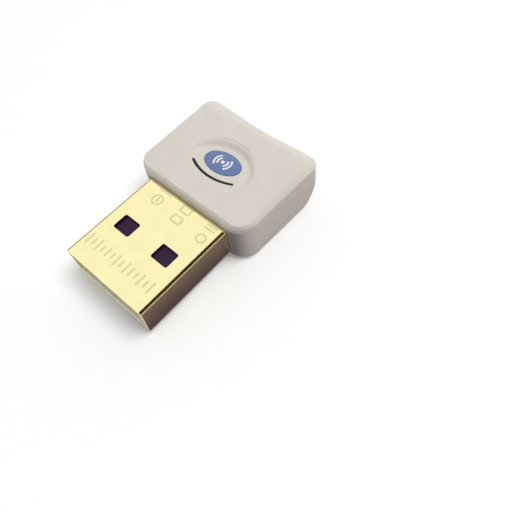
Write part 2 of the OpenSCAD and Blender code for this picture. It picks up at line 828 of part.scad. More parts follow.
// Gull-wing lead, drawn in Y and Z: foot on the board, riser, shoulder into the body
module gull_lead(body_half, width, reach, shoulder_z) {
    metal = 0.14;
    foot = reach * 0.55;
    tip = body_half + reach;
    run_across(width)
        polygon([
            [tip, 0], [tip, metal], [tip - foot + metal, metal],
            [tip - foot + metal, shoulder_z + metal], [body_half - 0.1, shoulder_z + metal],
            [body_half - 0.1, shoulder_z], [tip - foot, shoulder_z], [tip - foot, 0],
        ]);
}

// Moulded package with gull-wing leads: count of leads on each long side
module leaded_package(w, l, count, pitch) {
    stand = 0.08;
    lead_w = pitch * 0.4;
    reach = 0.6;
    translate([-w / 2, -l / 2, stand]) cube([w, l, package_h - stand]);
    for (flip = [0, 1], i = [0:count - 1])
        mirror([0, flip, 0]) translate([(i - (count - 1) / 2) * pitch, 0, 0])
            gull_lead(l / 2, lead_w, reach, package_h / 2);
}

module voltage_regulator() color("#26262a") under_board(board_w / 4, radio_y)
    leaded_package(small_w, small_l, 3, small_pitch);

module memory_chip() color("#26262a") under_board(-board_w / 4, radio_y - 0.4)
    leaded_package(memory_w, memory_w, 4, memory_pitch);

module surge_protector() color("#26262a") under_board(board_w / 10, led_y - 0.6)
    leaded_package(small_w, small_l, 3, small_pitch);

housing_top();
housing_bottom();
badge();
light_guide();
plug_shell();
plug_insulator();
contact_vbus();
contact_data_minus();
contact_data_plus();
contact_ground();
contact_solder();
leg_solder();
circuit_board();
radio_chip();
crystal();
antenna();
matching_coil();
status_light();
resistors();
capacitors();
ferrite_bead();
voltage_regulator();
memory_chip();
surge_protector();
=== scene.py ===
import math

import bpy
import numpy as np
from mathutils import Matrix, Vector


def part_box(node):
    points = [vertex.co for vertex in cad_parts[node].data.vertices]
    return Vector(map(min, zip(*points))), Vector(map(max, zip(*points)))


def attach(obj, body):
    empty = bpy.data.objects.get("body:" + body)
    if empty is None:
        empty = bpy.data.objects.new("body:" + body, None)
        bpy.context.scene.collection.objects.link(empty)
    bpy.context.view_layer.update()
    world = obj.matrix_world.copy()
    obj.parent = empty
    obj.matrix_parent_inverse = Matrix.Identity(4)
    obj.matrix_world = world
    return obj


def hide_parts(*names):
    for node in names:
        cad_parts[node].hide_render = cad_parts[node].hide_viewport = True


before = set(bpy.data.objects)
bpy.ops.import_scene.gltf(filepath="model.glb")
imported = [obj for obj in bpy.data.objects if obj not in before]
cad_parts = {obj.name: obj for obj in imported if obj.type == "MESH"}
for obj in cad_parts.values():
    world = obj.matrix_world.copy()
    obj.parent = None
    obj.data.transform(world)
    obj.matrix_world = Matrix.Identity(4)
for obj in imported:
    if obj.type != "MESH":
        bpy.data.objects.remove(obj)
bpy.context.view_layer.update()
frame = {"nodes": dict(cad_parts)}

bl_info = {
    "name": "USB radio stick",
    "version": (1, 0, 0),
    "blender": (4, 5, 0),
    "location": "3D View > Sidebar > Radio Stick",
    "description": "Builds the dressed pieces of a short USB radio stick over its CAD frame",
    "category": "Object",
}

MM = 0.001
BODY = "root"

# Sizes in millimetres that the solids already have, read back from the frame
STICK_LOW, STICK_HIGH = (np.array(corner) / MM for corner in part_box("housing_top"))
SHELL_LOW, SHELL_HIGH = (np.array(corner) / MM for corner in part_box("plug_shell"))
BODY_W = STICK_HIGH[0] - STICK_LOW[0]
BODY_H = STICK_HIGH[2]
FACE_Y, BACK_Y = STICK_LOW[1], STICK_HIGH[1]
TIP_Y = SHELL_LOW[1]
PLUG_W = SHELL_HIGH[0] - SHELL_LOW[0]
PLUG_LOW, PLUG_HIGH = SHELL_LOW[2], SHELL_HIGH[2]


# ------------------------------------------------------------------ settings

def length(name, description, default_mm, low_mm, high_mm):
    """A length setting, kept in metres as Blender does."""
    return bpy.props.FloatProperty(
        name=name, description=description, default=default_mm * MM,
        min=low_mm * MM, max=high_mm * MM, precision=5, subtype="DISTANCE", unit="LENGTH",
    )


def colour(name, description, default):
    """A linear colour setting."""
    return bpy.props.FloatVectorProperty(
        name=name, description=description, default=default,
        size=3, min=0.0, max=1.0, subtype="COLOR",
    )


class StickHousingSettings(bpy.types.PropertyGroup):
    front_corner: length("Front corner", "Plan radius of the corners beside the plug", 2.4, 2.0, 3.0)
    top_corner: length("Top corner", "Plan radius of the top face's two front corners", 1.4, 1.0, 2.4)
    back_corner: length("Back corner", "Plan radius of the two back corners", 1.3, 1.0, 2.0)
    back_sweep: length("Back sweep", "Depth of the hollow sweep along the back", 0.3, 0.1, 0.4)
    heel: length("Heel", "Radius that turns the back into the underside", 3.5, 3.2, 3.8)
    base_height: length("Base height", "Height of the rounding round the underside", 1.1, 0.8, 1.3)
    base_width: length("Base width", "Width of the rounding round the underside", 0.65, 0.4, 0.75)
    taper: length("Taper", "How far each side draws in from the back corner to the plug", 0.2, 0.0, 0.3)
    wall: length("Wall", "Thickness of the side and back walls", 1.3, 1.25, 1.4)
    front_wall: length("Front wall", "Thickness of the wall that the plug passes through", 1.2, 1.0, 1.4)
    draft: length("Draft", "How far the walls lean in from the base to the bevel", 0.05, 0.0, 0.15)
    bevel_height: length("Bevel height", "Height of the bevel round the top", 0.55, 0.4, 0.75)
    bevel_front: length("Bevel at the plug", "Width of the bevel beside the plug", 0.45, 0.3, 0.6)
    bevel_back: length("Bevel at the corners", "Width of the bevel at the back corners", 0.9, 0.7, 1.1)
    bevel_rear: length("Bevel along the back", "Width of the bevel along the back", 1.3, 1.1, 1.5)
    dish_half_width: length("Dish half width", "Half width of the dish in the top", 5.1, 4.7, 5.4)
    dish_half_length: length("Dish half length", "Half length of the dish", 4.3, 4.0, 4.5)
    dish_back: length("Dish back", "From the front face to the dish's back rim", 9.4, 9.1, 9.8)
    dish_depth: length("Dish depth", "Depth of the dish at its back rim", 0.6, 0.55, 0.7)
    dish_blend: length("Dish blend", "How softly the dish's wall runs out into the top", 0.2, 0.05, 0.4)
    dish_wall: length("Dish wall", "Width of the wall round the dish", 1.25, 1.1, 1.6)
    dish_tilt: bpy.props.FloatProperty(
        name="Dish tilt", description="Slope of the dish's floor, which runs out towards the plug",
        default=math.radians(6.0), min=math.radians(5.5), max=math.radians(6.25),
        subtype="ANGLE", unit="ROTATION",
    )
    slit_place: length("Slit place", "From the front face to the middle of the light slit", 3.7, 3.2, 4.0)
    slit_radius: length("Slit radius", "Radius of the slit's curve", 6.4, 6.0, 7.0)
    slit_length: length("Slit length", "Width of the slit from end to end", 6.0, 5.4, 6.4)
    slit_breadth: length("Slit breadth", "Breadth of the slit", 0.34, 0.24, 0.42)
    plastic: colour("Plastic", "Colour of the moulded housing", (0.69, 0.64, 0.585))
    # Painted shade: this tone multiplies the plastic's colour on the front face beside the plug.
    soil: colour("Painted_shade", "What is left of the plastic's colour beside the plug", (0.45, 0.40, 0.52))
    # Painted shade: the light guide's near-black tone darkens the slit.
    smoke: colour("Light guide", "Colour of the smoked light guide", (0.012, 0.010, 0.008))


class StickPlugSettings(bpy.types.PropertyGroup):
    sheet: length("Sheet", "Thickness of the shell's sheet metal", 0.3, 0.25, 0.35)
    bend: length("Bend", "Outer radius of the shell's four bends", 0.45, 0.4, 0.7)
    edge: length("Edge", "Rounding of the sheet's cut edges", 0.06, 0.02, 0.12)
    window_width: length("Window width", "Width of each latch window", 2.4, 2.1, 2.6)
    window_length: length("Window length", "Length of each latch window", 2.0, 1.7, 2.3)
    window_across: length("Window offset", "From the middle to a window's centre", 3.0, 2.6, 3.3)
    window_along: length("Window place", "From the tip to a window's centre", 6.2, 5.9, 6.6)
    dimple_along: length("Dimple place", "From the tip to the dimple in each side", 8.2, 7.0, 9.5)
    dimple_height: length("Dimple height", "Height of the dimple over the underside", 1.6, 1.3, 1.8)
    dimple_radius: length("Dimple radius", "Radius of the dimple at the sheet's face", 0.45, 0.3, 0.6)
    dimple_depth: length("Dimple depth", "Depth of the dimple", 0.12, 0.08, 0.16)
    gold: colour("Plating", "Colour of the bright plating", (0.990, 0.905, 0.500))
    inner: colour("Inner plating", "Colour of the duller plating inside the shell", (0.88, 0.84, 0.62))
    # The windows' cut edges are bare metal, painted dark brown as the shade on the sheet's thickness.
    cut: colour("Cut edge", "Colour of the sheet's bare edge in the windows", (0.16, 0.11, 0.05))
    stroke: length("Mark stroke", "Width of an etched line on the plug", 0.24, 0.15, 0.3)
    insulator: colour("Insulator", "Colour of the tongue and block", (0.022, 0.004, 0.034))
    contact: colour("Contacts", "Colour of the flashed contact strips", (0.88, 0.62, 0.24))
    solder: colour("Solder", "Colour of the solder", (0.72, 0.72, 0.70))


class StickBadgeSettings(bpy.types.PropertyGroup):
    width: length("Width", "Width of the oval badge", 4.9, 4.4, 5.1)
    breadth: length("Length", "Length of the oval badge", 3.2, 2.9, 3.3)
    back: length("Place", "From the dish's back rim to the badge's centre", 3.2, 3.0, 3.5)
    dome: length("Dome", "Height that the lacquer rises in the middle", 0.1, 0.0, 0.2)
    blue: colour("Blue", "Colour of the badge", (0.095, 0.148, 0.36))
    print: colour("Print", "Colour of the printed waves", (0.80, 0.82, 0.86))


class StickBoardSettings(bpy.types.PropertyGroup):
    track_width: length("Track", "Width of a copper track", 0.16, 0.1, 0.3)
    mask: colour("Board", "Colour of the solder mask", (0.015, 0.13, 0.05))
    covered: colour("Covered copper", "Colour of the mask where copper lies under it", (0.05, 0.24, 0.10))
    via: colour("Vias", "Colour of the plated rings", (0.86, 0.66, 0.30))
    moulding: colour("Chip plastic", "Colour of the moulding compound", (0.02, 0.02, 0.022))
    can: colour("Can", "Colour of the crystal's lid", (0.66, 0.65, 0.62))
    ceramic: colour("Ceramic", "Colour of the antenna's ceramic", (0.78, 0.76, 0.70))
    capacitor: colour("Capacitor", "Colour of the capacitors' ceramic", (0.42, 0.29, 0.17))
    lens: colour("Lens", "Colour of the status light's lens", (0.86, 0.88, 0.78))


class StickStageSettings(bpy.types.PropertyGroup):
    camera_place: bpy.props.FloatVectorProperty(
        name="Camera", description="Where the camera stands", size=3,
        default=(29.2 * MM, -17.83 * MM, 48.88 * MM), subtype="XYZ", unit="LENGTH",
    )
    lens_mm: bpy.props.FloatProperty(
        name="Lens", description="Focal length in millimetres", default=34.6, min=20.0, max=120.0,
    )
    key_watts: bpy.props.FloatProperty(
        name="Key light", description="Power of the large soft light, in watts", default=9.2,
        min=0.0, max=50.0, unit="POWER",
    )
    sky: bpy.props.FloatProperty(
        name="Sky", description="Strength of the even light from all round", default=0.44,
        min=0.0, max=2.0,
    )
    sky_slope: bpy.props.FloatProperty(
        name="Sky slope", description="How much brighter the sky is at the left than at the right",
        default=0.8, min=0.0, max=1.0,
    )
    glow: bpy.props.FloatProperty(
        name="Floor glow", description="What the floor adds of its own where it is seen directly",
        default=0.12, min=0.0, max=1.0,
    )
    paper: colour("Paper", "Colour of the floor", (0.90, 0.90, 0.90))
    flag: colour("Right card", "Tone of the tall dark card at the right", (0.035, 0.026, 0.014))
    left_flag: colour("Left card", "Tone of the dark card at the left", (0.22, 0.21, 0.15))
    # The low card's tones: a painted shadow by the plug and a painted highlight further out, which only the
    # metal mirrors.
    low_flag: colour("Low card", "Tone of the card on the floor at the right, by the plug", (0.07, 0.045, 0.09))
    mid_flag: colour("Low card's middle", "Tone of that card a little further out", (0.105, 0.078, 0.10))
    far_flag: colour("Low card's far side", "Tone of that card away from the plug", (0.52, 0.39, 0.31))
    bounce_flag: colour("Bounce card", "Light that the floor throws on the right side", (0.60, 0.59, 0.60))


# ------------------------------------------------------------------- meshes

def piece_from(name, points_mm, faces):
    """New smooth mesh object from points in millimetres, in the row frame."""
    mesh = bpy.data.meshes.new(name)
    mesh.from_pydata([tuple(float(c) * MM for c in p) for p in points_mm], [], faces)
    mesh.shade_smooth()
    piece = bpy.data.objects.new(name, mesh)
    bpy.context.scene.collection.objects.link(piece)
    return piece


def skin(rings, closed=False, capped=True):
    """Points and faces of a surface through rings that all have the same number of points."""
    count, last = len(rings[0]), len(rings)
    points = [tuple(p) for ring in rings for p in ring]
    faces = []
    for i in range(last if closed else last - 1):
        here, there = i * count, ((i + 1) % last) * count
        for j in range(count):
            k = (j + 1) % count
            faces.append((here + j, here + k, there + k, there + j))
    if capped and not closed:
        faces.append(tuple(range(count - 1, -1, -1)))
        faces.append(tuple((last - 1) * count + j for j in range(count)))
    return points, faces


def skin_open(rows):
    """Points and faces of an open sheet through rows of points."""
    count = len(rows[0])
    points = [tuple(p) for row in rows for p in row]
    faces = [(i * count + j, i * count + j + 1, (i + 1) * count + j + 1, (i + 1) * count + j)
             for i in range(len(rows) - 1) for j in range(count - 1)]
    return points, faces


def rounded_rect(w, l, r, steps=8, straight=1):
    """Plan points of a rounded rectangle round the origin, anticlockwise from the right side."""
    points = []
    for turn, (sx, sy) in enumerate(((1, 1), (-1, 1), (-1, -1), (1, -1))):
        for i in range(steps + 1):
            a = math.radians(90 * (turn + i / steps))
            points.append((sx * (w / 2 - r) + r * math.cos(a), sy * (l / 2 - r) + r * math.sin(a)))
    if straight == 1:
        return points
    full = []
    for i, here in enumerate(points):
        there = points[(i + 1) % len(points)]
        full.append(here)
        if (i + 1) % (steps + 1) == 0:
            full += [tuple(np.array(here) + (np.array(there) - here) * s / straight)
                     for s in range(1, straight)]
    return full


def prism(name, plan, low, high):
    """Upright prism over a plan outline."""
    rings = [[(x, y, z) for x, y in plan] for z in (low, high)]
    return piece_from(name, *skin(rings))


def combine(piece, tool, operation="DIFFERENCE"):
    """Cuts the tool from the piece, or joins it on, and deletes the tool."""
    step = piece.modifiers.new("combine", "BOOLEAN")
    step.object = tool
    step.operation = operation
    step.solver = "EXACT"
    bpy.context.view_layer.update()
    evaluated = piece.evaluated_get(bpy.context.evaluated_depsgraph_get())
    mesh = bpy.data.meshes.new_from_object(evaluated)
    if not mesh.polygons:
        raise RuntimeError(f"{piece.name} came out empty from a boolean step")
    piece.modifiers.clear()
    old, piece.data = piece.data, mesh
    mesh.name = piece.name
    spare = tool.data
    bpy.data.objects.remove(tool)
    bpy.data.meshes.remove(spare)
    bpy.data.meshes.remove(old)
    return piece


def join(piece, *others):
    """Adds the other objects' meshes to the piece."""
    bpy.ops.object.select_all(action="DESELECT")
    for o in (piece, *others):
        o.select_set(True)
    bpy.context.view_layer.objects.active = piece
    bpy.ops.object.join()
    return piece


def crisp(piece, angle=40, width_mm=0.0, segments=2):
    """Smooth shading with sharp edges above the angle, small rounded edges and even normals."""
    piece.data.shade_smooth()
    piece.data.set_sharp_from_angle(angle=math.radians(angle))
    if width_mm:
        soften(piece, width_mm, angle, segments)
    even = piece.modifiers.new("even normals", "WEIGHTED_NORMAL")
    even.keep_sharp = True
    return piece


def soften(piece, width_mm, angle=40, segments=2):
    """Rounds the piece's sharp edges with a bevel modifier."""
    bevel = piece.modifiers.new("rounded edges", "BEVEL")
    bevel.width = width_mm * MM
    bevel.segments = segments
    bevel.limit_method = "ANGLE"
    bevel.angle_limit = math.radians(angle)
    bevel.harden_normals = True
    return bevel


def dress(piece, material):
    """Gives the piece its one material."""
    piece.data.materials.clear()
    piece.data.materials.append(material)
    return piece


def carry(piece, material, slot, *nodes):
    """Finishes a new piece: material, body, and the CAD nodes that it stands for, which it hides; the slot is
    not used.
    """
    dress(piece, material)
    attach(piece, BODY)
    if nodes:
        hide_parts(*nodes)
    return piece


# ---------------------------------------------------------------- materials

def node_material(name):
    """A new node material, with its tree and its main shader."""
    material = bpy.data.materials.new(name)
    material.use_nodes = True
    tree = material.node_tree
    return material, tree, tree.nodes["Principled BSDF"]


def stage_material(name):
    """A new node material with nothing but its output, for the floor and the cards."""
    material = bpy.data.materials.new(name)
    material.use_nodes = True
    tree = material.node_tree
    tree.nodes.clear()
    return material, tree, tree.nodes.new("ShaderNodeOutputMaterial")


def object_mm(tree, stretch=(1, 1, 1)):
    """Object coordinates in millimetres, stretched by axis."""
    coords = tree.nodes.new("ShaderNodeTexCoord")
    mapping = tree.nodes.new("ShaderNodeMapping")
    mapping.inputs["Scale"].default_value = [s / MM for s in stretch]
    tree.links.new(coords.outputs["Object"], mapping.inputs["Vector"])
    return mapping.outputs["Vector"]


def noise(tree, where, scale, detail=3.0, roughness=0.55):
    """Noise over a coordinate; scale is in waves per millimetre."""
    cloud = tree.nodes.new("ShaderNodeTexNoise")
    cloud.inputs["Scale"].default_value = scale
    cloud.inputs["Detail"].default_value = detail
    cloud.inputs["Roughness"].default_value = roughness
    tree.links.new(where, cloud.inputs["Vector"])
    return cloud.outputs["Fac"]


def ramp(tree, factor, stops):
    """Colour ramp through (place, colour) stops."""
    node = tree.nodes.new("ShaderNodeValToRGB")
    node.color_ramp.elements[0].position = stops[0][0]
    node.color_ramp.elements[1].position = stops[-1][0]
    for place, _ in stops[1:-1]:
        node.color_ramp.elements.new(place)
    for element, (_, tone) in zip(node.color_ramp.elements, stops):
        element.color = (*tone, 1.0)
    tree.links.new(factor, node.inputs["Fac"])
    return node.outputs["Color"]


def spread(tree, factor, low, high):
    """Maps the middle of a noise onto the range from low to high."""
    node = tree.nodes.new("ShaderNodeMapRange")
    node.inputs["From Min"].default_value = 0.3
    node.inputs["From Max"].default_value = 0.7
    node.inputs["To Min"].default_value = low
    node.inputs["To Max"].default_value = high
    tree.links.new(factor, node.inputs["Value"])
    return node.outputs["Result"]


def relief(tree, shader, height, strength, depth_mm):
    """Bump from a height."""
    bump = tree.nodes.new("ShaderNodeBump")
    bump.inputs["Strength"].default_value = strength
    bump.inputs["Distance"].default_value = depth_mm * MM
    tree.links.new(height, bump.inputs["Height"])
    tree.links.new(bump.outputs["Normal"], shader.inputs["Normal"])


def tones(base, swing):
    """A darker and a lighter tone round a colour."""
    base = np.array(base)
    return tuple(np.clip(base * (1 - swing), 0, 1)), tuple(np.clip(base * (1 + swing), 0, 1))


def moulded(name, base, swing=0.03, rough=(0.38, 0.5), grain=9.0, depth_mm=0.006, scatter=0.0, shine=0.5):
    """Moulded plastic: slow colour drift, a fine spark-eroded grain and uneven gloss."""
    material, tree, shader = node_material(name)
    where = object_mm(tree)
    drift = noise(tree, where, 0.35, 4.0)
    dark, light = tones(base, swing)
    tree.links.new(ramp(tree, drift, [(0.3, dark), (0.7, light)]), shader.inputs["Base Color"])
    grit = noise(tree, where, grain, 5.0, 0.7)
    tree.links.new(spread(tree, grit, *rough), shader.inputs["Roughness"])
    relief(tree, shader, grit, 0.5, depth_mm)
    shader.inputs["IOR"].default_value = 1.5
    shader.inputs["Specular IOR Level"].default_value = shine
    if scatter:
        shader.inputs["Subsurface Weight"].default_value = scatter
        shader.inputs["Subsurface Radius"].default_value = (1.0, 0.75, 0.5)
        shader.inputs["Subsurface Scale"].default_value = 0.4 * MM
    return material


def plated(name, base, rough=(0.1, 0.2), swing=0.04, draw=(9.0, 0.7, 9.0), depth_mm=0.0012):
    """Plated sheet: faint drawing lines along the strip, cloudy plating and small stains."""
    material, tree, shader = node_material(name)
    lines = noise(tree, object_mm(tree, draw), 1.0, 4.0, 0.6)
    cloud = noise(tree, object_mm(tree), 0.6, 5.0, 0.6)
    dark, light = tones(base, swing)
    tree.links.new(ramp(tree, cloud, [(0.3, dark), (0.55, tuple(base)), (0.75, light)]),
                   shader.inputs["Base Color"])
    tree.links.new(spread(tree, lines, *rough), shader.inputs["Roughness"])
    relief(tree, shader, lines, 0.35, depth_mm)
    shader.inputs["Metallic"].default_value = 1.0
    return material


def fired(name, base, speck, rough=(0.3, 0.45)):
    """Fired ceramic: speckled body under a thin glaze."""
    material, tree, shader = node_material(name)
    where = object_mm(tree)
    specks = noise(tree, where, 14.0, 6.0, 0.75)
    dark, light = tones(base, 0.06)
    tree.links.new(ramp(tree, specks, [(0.3, tuple(speck)), (0.42, dark), (0.65, light)]),
                   shader.inputs["Base Color"])
    tree.links.new(spread(tree, specks, *rough), shader.inputs["Roughness"])
    relief(tree, shader, specks, 0.4, 0.01)
    return material


# -------------------------------------------------------------- housing form

def heel_in(z, heel):
    """How far the rounded heel draws the back in at height z."""
    return heel - math.sqrt(max(heel ** 2 - (heel - z) ** 2, 0)) if z < heel else 0.0


def body_outline(s, side_f, side_b, front_in, back_in, front_corner=None,
                 corner_steps=18, back_steps=40, side_steps=6):
    """Plan outline of the housing at one height, as in the solid but with finer steps."""
    front_r = front_corner or s["front_corner"]
    xf = BODY_W / 2 - s["taper"] - side_f - front_r
    xb = BODY_W / 2 - side_b - s["back_corner"]
    yf = FACE_Y + front_in + front_r
    yb = BACK_Y - back_in - s["back_corner"]

    def corner(x, y, r, start):
        turn = [math.radians(start + 90 * i / corner_steps) for i in range(corner_steps + 1)]
        return [(x + r * math.cos(a), y + r * math.sin(a)) for a in turn]

    def run(a, b):
        return [tuple(np.array(a) + (np.array(b) - a) * i / side_steps) for i in range(1, side_steps)]

    right_back = corner(xb, yb, s["back_corner"], 0)
    left_back = corner(-xb, yb, s["back_corner"], 90)
    left_front = corner(-xf, yf, front_r, 180)
    right_front = corner(xf, yf, front_r, 270)
    sweep = []
    for i in range(1, back_steps):
        t = i / back_steps
        dip = s["back_sweep"] * (1 - math.cos(2 * math.pi * t)) / 2
        sweep.append((xb * (1 - 2 * t), yb + s["back_corner"] - dip))
    return (right_back + sweep + left_back + run(left_back[-1], left_front[0]) + left_front
            + run(left_front[-1], right_front[0]) + right_front + run(right_front[-1], right_back[0]))


def body_rings(s, steps=20, power=1.3):
    """Outlines up the housing: rounded base, heel, leaning side and the bevel round the top."""
    base_h, base_w, draft = s["base_height"], s["base_width"], s["draft"]
    bevel_foot = BODY_H - s["bevel_height"]
    rings = []
    for i in range(steps + 1):
        a = math.pi / 2 * i / steps
        z, inwards = base_h * (1 - math.cos(a)), base_w * (1 - math.sin(a))
        rings.append((z, (inwards, inwards, inwards, heel_in(z, s["heel"]))))
    for i in range(1, steps + 1):
        z = base_h + (s["heel"] - base_h) * i / steps
        lean = draft * (z - base_h) / (bevel_foot - base_h)
        rings.append((z, (lean, lean, lean, heel_in(z, s["heel"]))))
    for i in range(steps + 1):
        a = math.pi / 2 * i / steps
        t = 1 - max(math.cos(a), 0) ** (2 / power)
        z = BODY_H - s["bevel_height"] * (1 - math.sin(a) ** (2 / power))
        front, back = draft + s["bevel_front"] * t, draft + s["bevel_back"] * t
        corner = s["front_corner"] + (s["top_corner"] - s["front_corner"]) * t
        rings.append((z, (front, back, front, draft + s["bevel_rear"] * t, corner)))
    return [[(x, y, z) for x, y in body_outline(s, *inset)] for z, inset in rings]


def dish_frame(s):
    """Matrix of the dish's own frame: the middle of its back rim, tilted with its floor."""
    place = Vector((0, FACE_Y + s["dish_back"], BODY_H))
    return Matrix.Translation(place) @ Matrix.Rotation(-s["dish_tilt"], 4, "X")


def dish_tool(s, around=192, floor_steps=16, wall_steps=28):
    """Cutter of the dish: tilted oval floor and a wall that runs out softly into the top."""
    floor = s["dish_half_width"] - s["dish_wall"]
    radii = [floor * i / floor_steps for i in range(1, floor_steps + 1)]
    radii += [floor + s["dish_wall"] * i / wall_steps for i in range(1, wall_steps + 1)]
    place = dish_frame(s)
    squeeze = s["dish_half_length"] / s["dish_half_width"]
    rings = []
    for r in radii:
        up = min(max((r - floor) / s["dish_wall"], 0), 1)
        z = -s["dish_depth"] * (1 + math.cos(math.pi * up)) / 2
        ring = []
        for j in range(around):
            a = 2 * math.pi * j / around
            point = place @ Vector((r * math.cos(a), r * math.sin(a) * squeeze
                                    - s["dish_half_length"], z))
            point.z = BODY_H + below(point.z - BODY_H, s["dish_blend"]) + 0.002
            ring.append(point)
        rings.append(ring)
    rings.append([Vector((x, y, BODY_H + 1)) for x, y, z in rings[-1]])
    return piece_from("dish_tool", *skin(rings))


def below(height, blend):
    """The lower of the height and nought, rounded off where the two meet."""
    near = max(blend - abs(height), 0) / blend
    return min(height, 0) - near * near * blend / 4


def oval_points(s, w, l, z, around=96):
    """Oval ring in the dish's frame round the badge's centre."""
    place = dish_frame(s)
    return [place @ Vector((w / 2 * math.cos(2 * math.pi * j / around),
                            l / 2 * math.sin(2 * math.pi * j / around) - s["badge_back"], z))
            for j in range(around)]


def slit_tool(s, steps=40, end_steps=8):
    """Cutter of the curved light slit, with round ends."""
    half = math.asin(s["slit_length"] / 2 / s["slit_radius"])
    centre_y = FACE_Y + s["slit_place"] + s["slit_radius"]
    r = s["slit_breadth"] / 2

    def at(radius, a):
        return (radius * math.sin(a), centre_y - radius * math.cos(a))

    plan = [at(s["slit_radius"] + r, -half + 2 * half * i / steps) for i in range(steps + 1)]
    for i in range(1, end_steps):
        t = math.pi * i / end_steps
        x, y = at(s["slit_radius"], half)
        plan.append((x + r * math.sin(half + t), y - r * math.cos(half + t)))
    plan += [at(s["slit_radius"] - r, half - 2 * half * i / steps) for i in range(steps + 1)]
    for i in range(1, end_steps):
        t = math.pi * i / end_steps
        x, y = at(s["slit_radius"], -half)
        plan.append((x - r * math.sin(-half + t), y + r * math.cos(-half + t)))
    return prism("slit_tool", plan, BODY_H - 1.6, BODY_H + 1.0)


def cavity_tool(s):
    """Cutter of the room inside the housing, whose back follows the heel."""
    low, high = PLUG_LOW - 0.05, PLUG_HIGH + 0.05
    wall, front = s["wall"], s["front_wall"]
    back = BACK_Y - wall
    r = s["heel"] - wall
    profile = [(FACE_Y + front, high), (FACE_Y + front, low)]
    for i in range(13):
        z = low + (s["heel"] - low) * i / 12
        profile.append((back - r + math.sqrt(max(r ** 2 - (s["heel"] - z) ** 2, 0)), z))
    profile.append((back, high))
    half = BODY_W / 2 - wall
    rings = [[(x, y, z) for y, z in profile] for x in (-half, half)]
    return piece_from("cavity_tool", *skin(rings))


def sizes_of(group):
    """The group's lengths in millimetres and its other settings as they are."""
    values = {}
    for key, prop in group.bl_rna.properties.items():
        if key in ("rna_type", "name"):
            continue
        value = getattr(group, key)
        if getattr(prop, "subtype", "") == "DISTANCE":
            value /= MM
        elif getattr(prop, "array_length", 0):
            value = tuple(value)
        values[key] = value
    return values


def housing_sizes(scene):
    """Housing sizes together with the badge's place, which shares the dish's frame."""
    s = sizes_of(scene.stick_housing)
    badge = sizes_of(scene.stick_badge)
    s.update(badge_back=badge["back"], badge_w=badge["width"], badge_l=badge["breadth"])
    return s


# ---------------------------------------------------------------- operators

class STICK_OT_housing(bpy.types.Operator):
    """Build the moulded housing with its bevel, heel, dish, slit and plug opening"""
    bl_idname = "stick.housing"
    bl_label = "Housing"

    def execute(self, context):
        s = housing_sizes(context.scene)
        piece = piece_from("housing_moulding", *skin(body_rings(s)))
        combine(piece, cavity_tool(s))
        combine(piece, dish_tool(s))
        badge_room = [oval_points(s, s["badge_w"] + 0.08, s["badge_l"] + 0.08, z - s["dish_depth"])
                      for z in (-0.15, 0.5)]
        combine(piece, piece_from("badge_room", *skin(badge_room)))
        combine(piece, slit_tool(s))
        opening = rounded_rect(PLUG_W + 0.1, PLUG_HIGH - PLUG_LOW + 0.1, 0.5, 12)
        middle = (PLUG_LOW + PLUG_HIGH) / 2
        rings = [[(x, y, z + middle) for x, z in opening]
                 for y in (FACE_Y + s["front_wall"] + 0.2, FACE_Y - 0.5)]
        combine(piece, piece_from("plug_opening", *skin(rings)))
        rim = 1.1
        y0, y1 = FACE_Y + rim, BACK_Y - s["heel"] - rim
        plan = [(x, y + (y0 + y1) / 2)
                for x, y in rounded_rect(BODY_W - 2 * rim, y1 - y0, s["front_corner"] - rim, 12)]
        combine(piece, prism("plate_room", plan, -0.2, PLUG_LOW))
        crisp(piece, 38)
        material = moulded("housing_plastic", s["plastic"], scatter=0.25)
        # Painted shade on the front face beside the plug.
        self.soil(material, s["soil"])
        carry(piece, material, "housing", "housing_top")
        return {"FINISHED"}


    def soil(self, material, tone):
        """Painted shade on the front face beside the plug, standing in for the plug's shadow and dark
        reflection there, fading out round the corners.
        """
        tree = material.node_tree
        shader = tree.nodes["Principled BSDF"]
        apart = tree.nodes.new("ShaderNodeSeparateXYZ")
        tree.links.new(object_mm(tree), apart.inputs[0])
        aside = tree.nodes.new("ShaderNodeMath")
        aside.operation = "ABSOLUTE"
        tree.links.new(apart.outputs["X"], aside.inputs[0])
        share = None
        for value, unshaded, shaded in ((aside.outputs[0], 8.4, 6.7), (apart.outputs["Z"], 5.7, 5.2),
                                    (apart.outputs["Y"], FACE_Y + 2.0, FACE_Y + 1.0)):
            fade = tree.nodes.new("ShaderNodeMapRange")
            fade.interpolation_type = "SMOOTHSTEP"
            fade.inputs["From Min"].default_value = unshaded
            fade.inputs["From Max"].default_value = shaded
            tree.links.new(value, fade.inputs["Value"])
            if share is None:
                share = fade.outputs["Result"]
                continue
            both = tree.nodes.new("ShaderNodeMath")
            both.operation = "MULTIPLY"
            tree.links.new(share, both.inputs[0])
            tree.links.new(fade.outputs["Result"], both.inputs[1])
            share = both.outputs[0]
        # The painted shade darkens the base colour by its tone.
        mix = tree.nodes.new("ShaderNodeMix")
        mix.data_type = "RGBA"
        mix.blend_type = "MULTIPLY"
        mix.inputs["B"].default_value = (*tone, 1.0)
        tree.links.new(share, mix.inputs["Factor"])
        tree.links.new(shader.inputs["Base Color"].links[0].from_socket, mix.inputs["A"])
        tree.links.new(mix.outputs["Result"], shader.inputs["Base Color"])


class STICK_OT_cover(bpy.types.Operator):
    """Dress the snap-in cover plate under the housing"""
    bl_idname = "stick.cover"
    bl_label = "Cover plate"

    def execute(self, context):
        s = sizes_of(context.scene.stick_housing)
        plate = frame["nodes"]["housing_bottom"]
        soften(plate, 0.05)
        base = tuple(c * 0.96 for c in s["plastic"])
        dress(plate, moulded("cover_plastic", base, rough=(0.45, 0.58), grain=6.0, depth_mm=0.012))
        return {"FINISHED"}


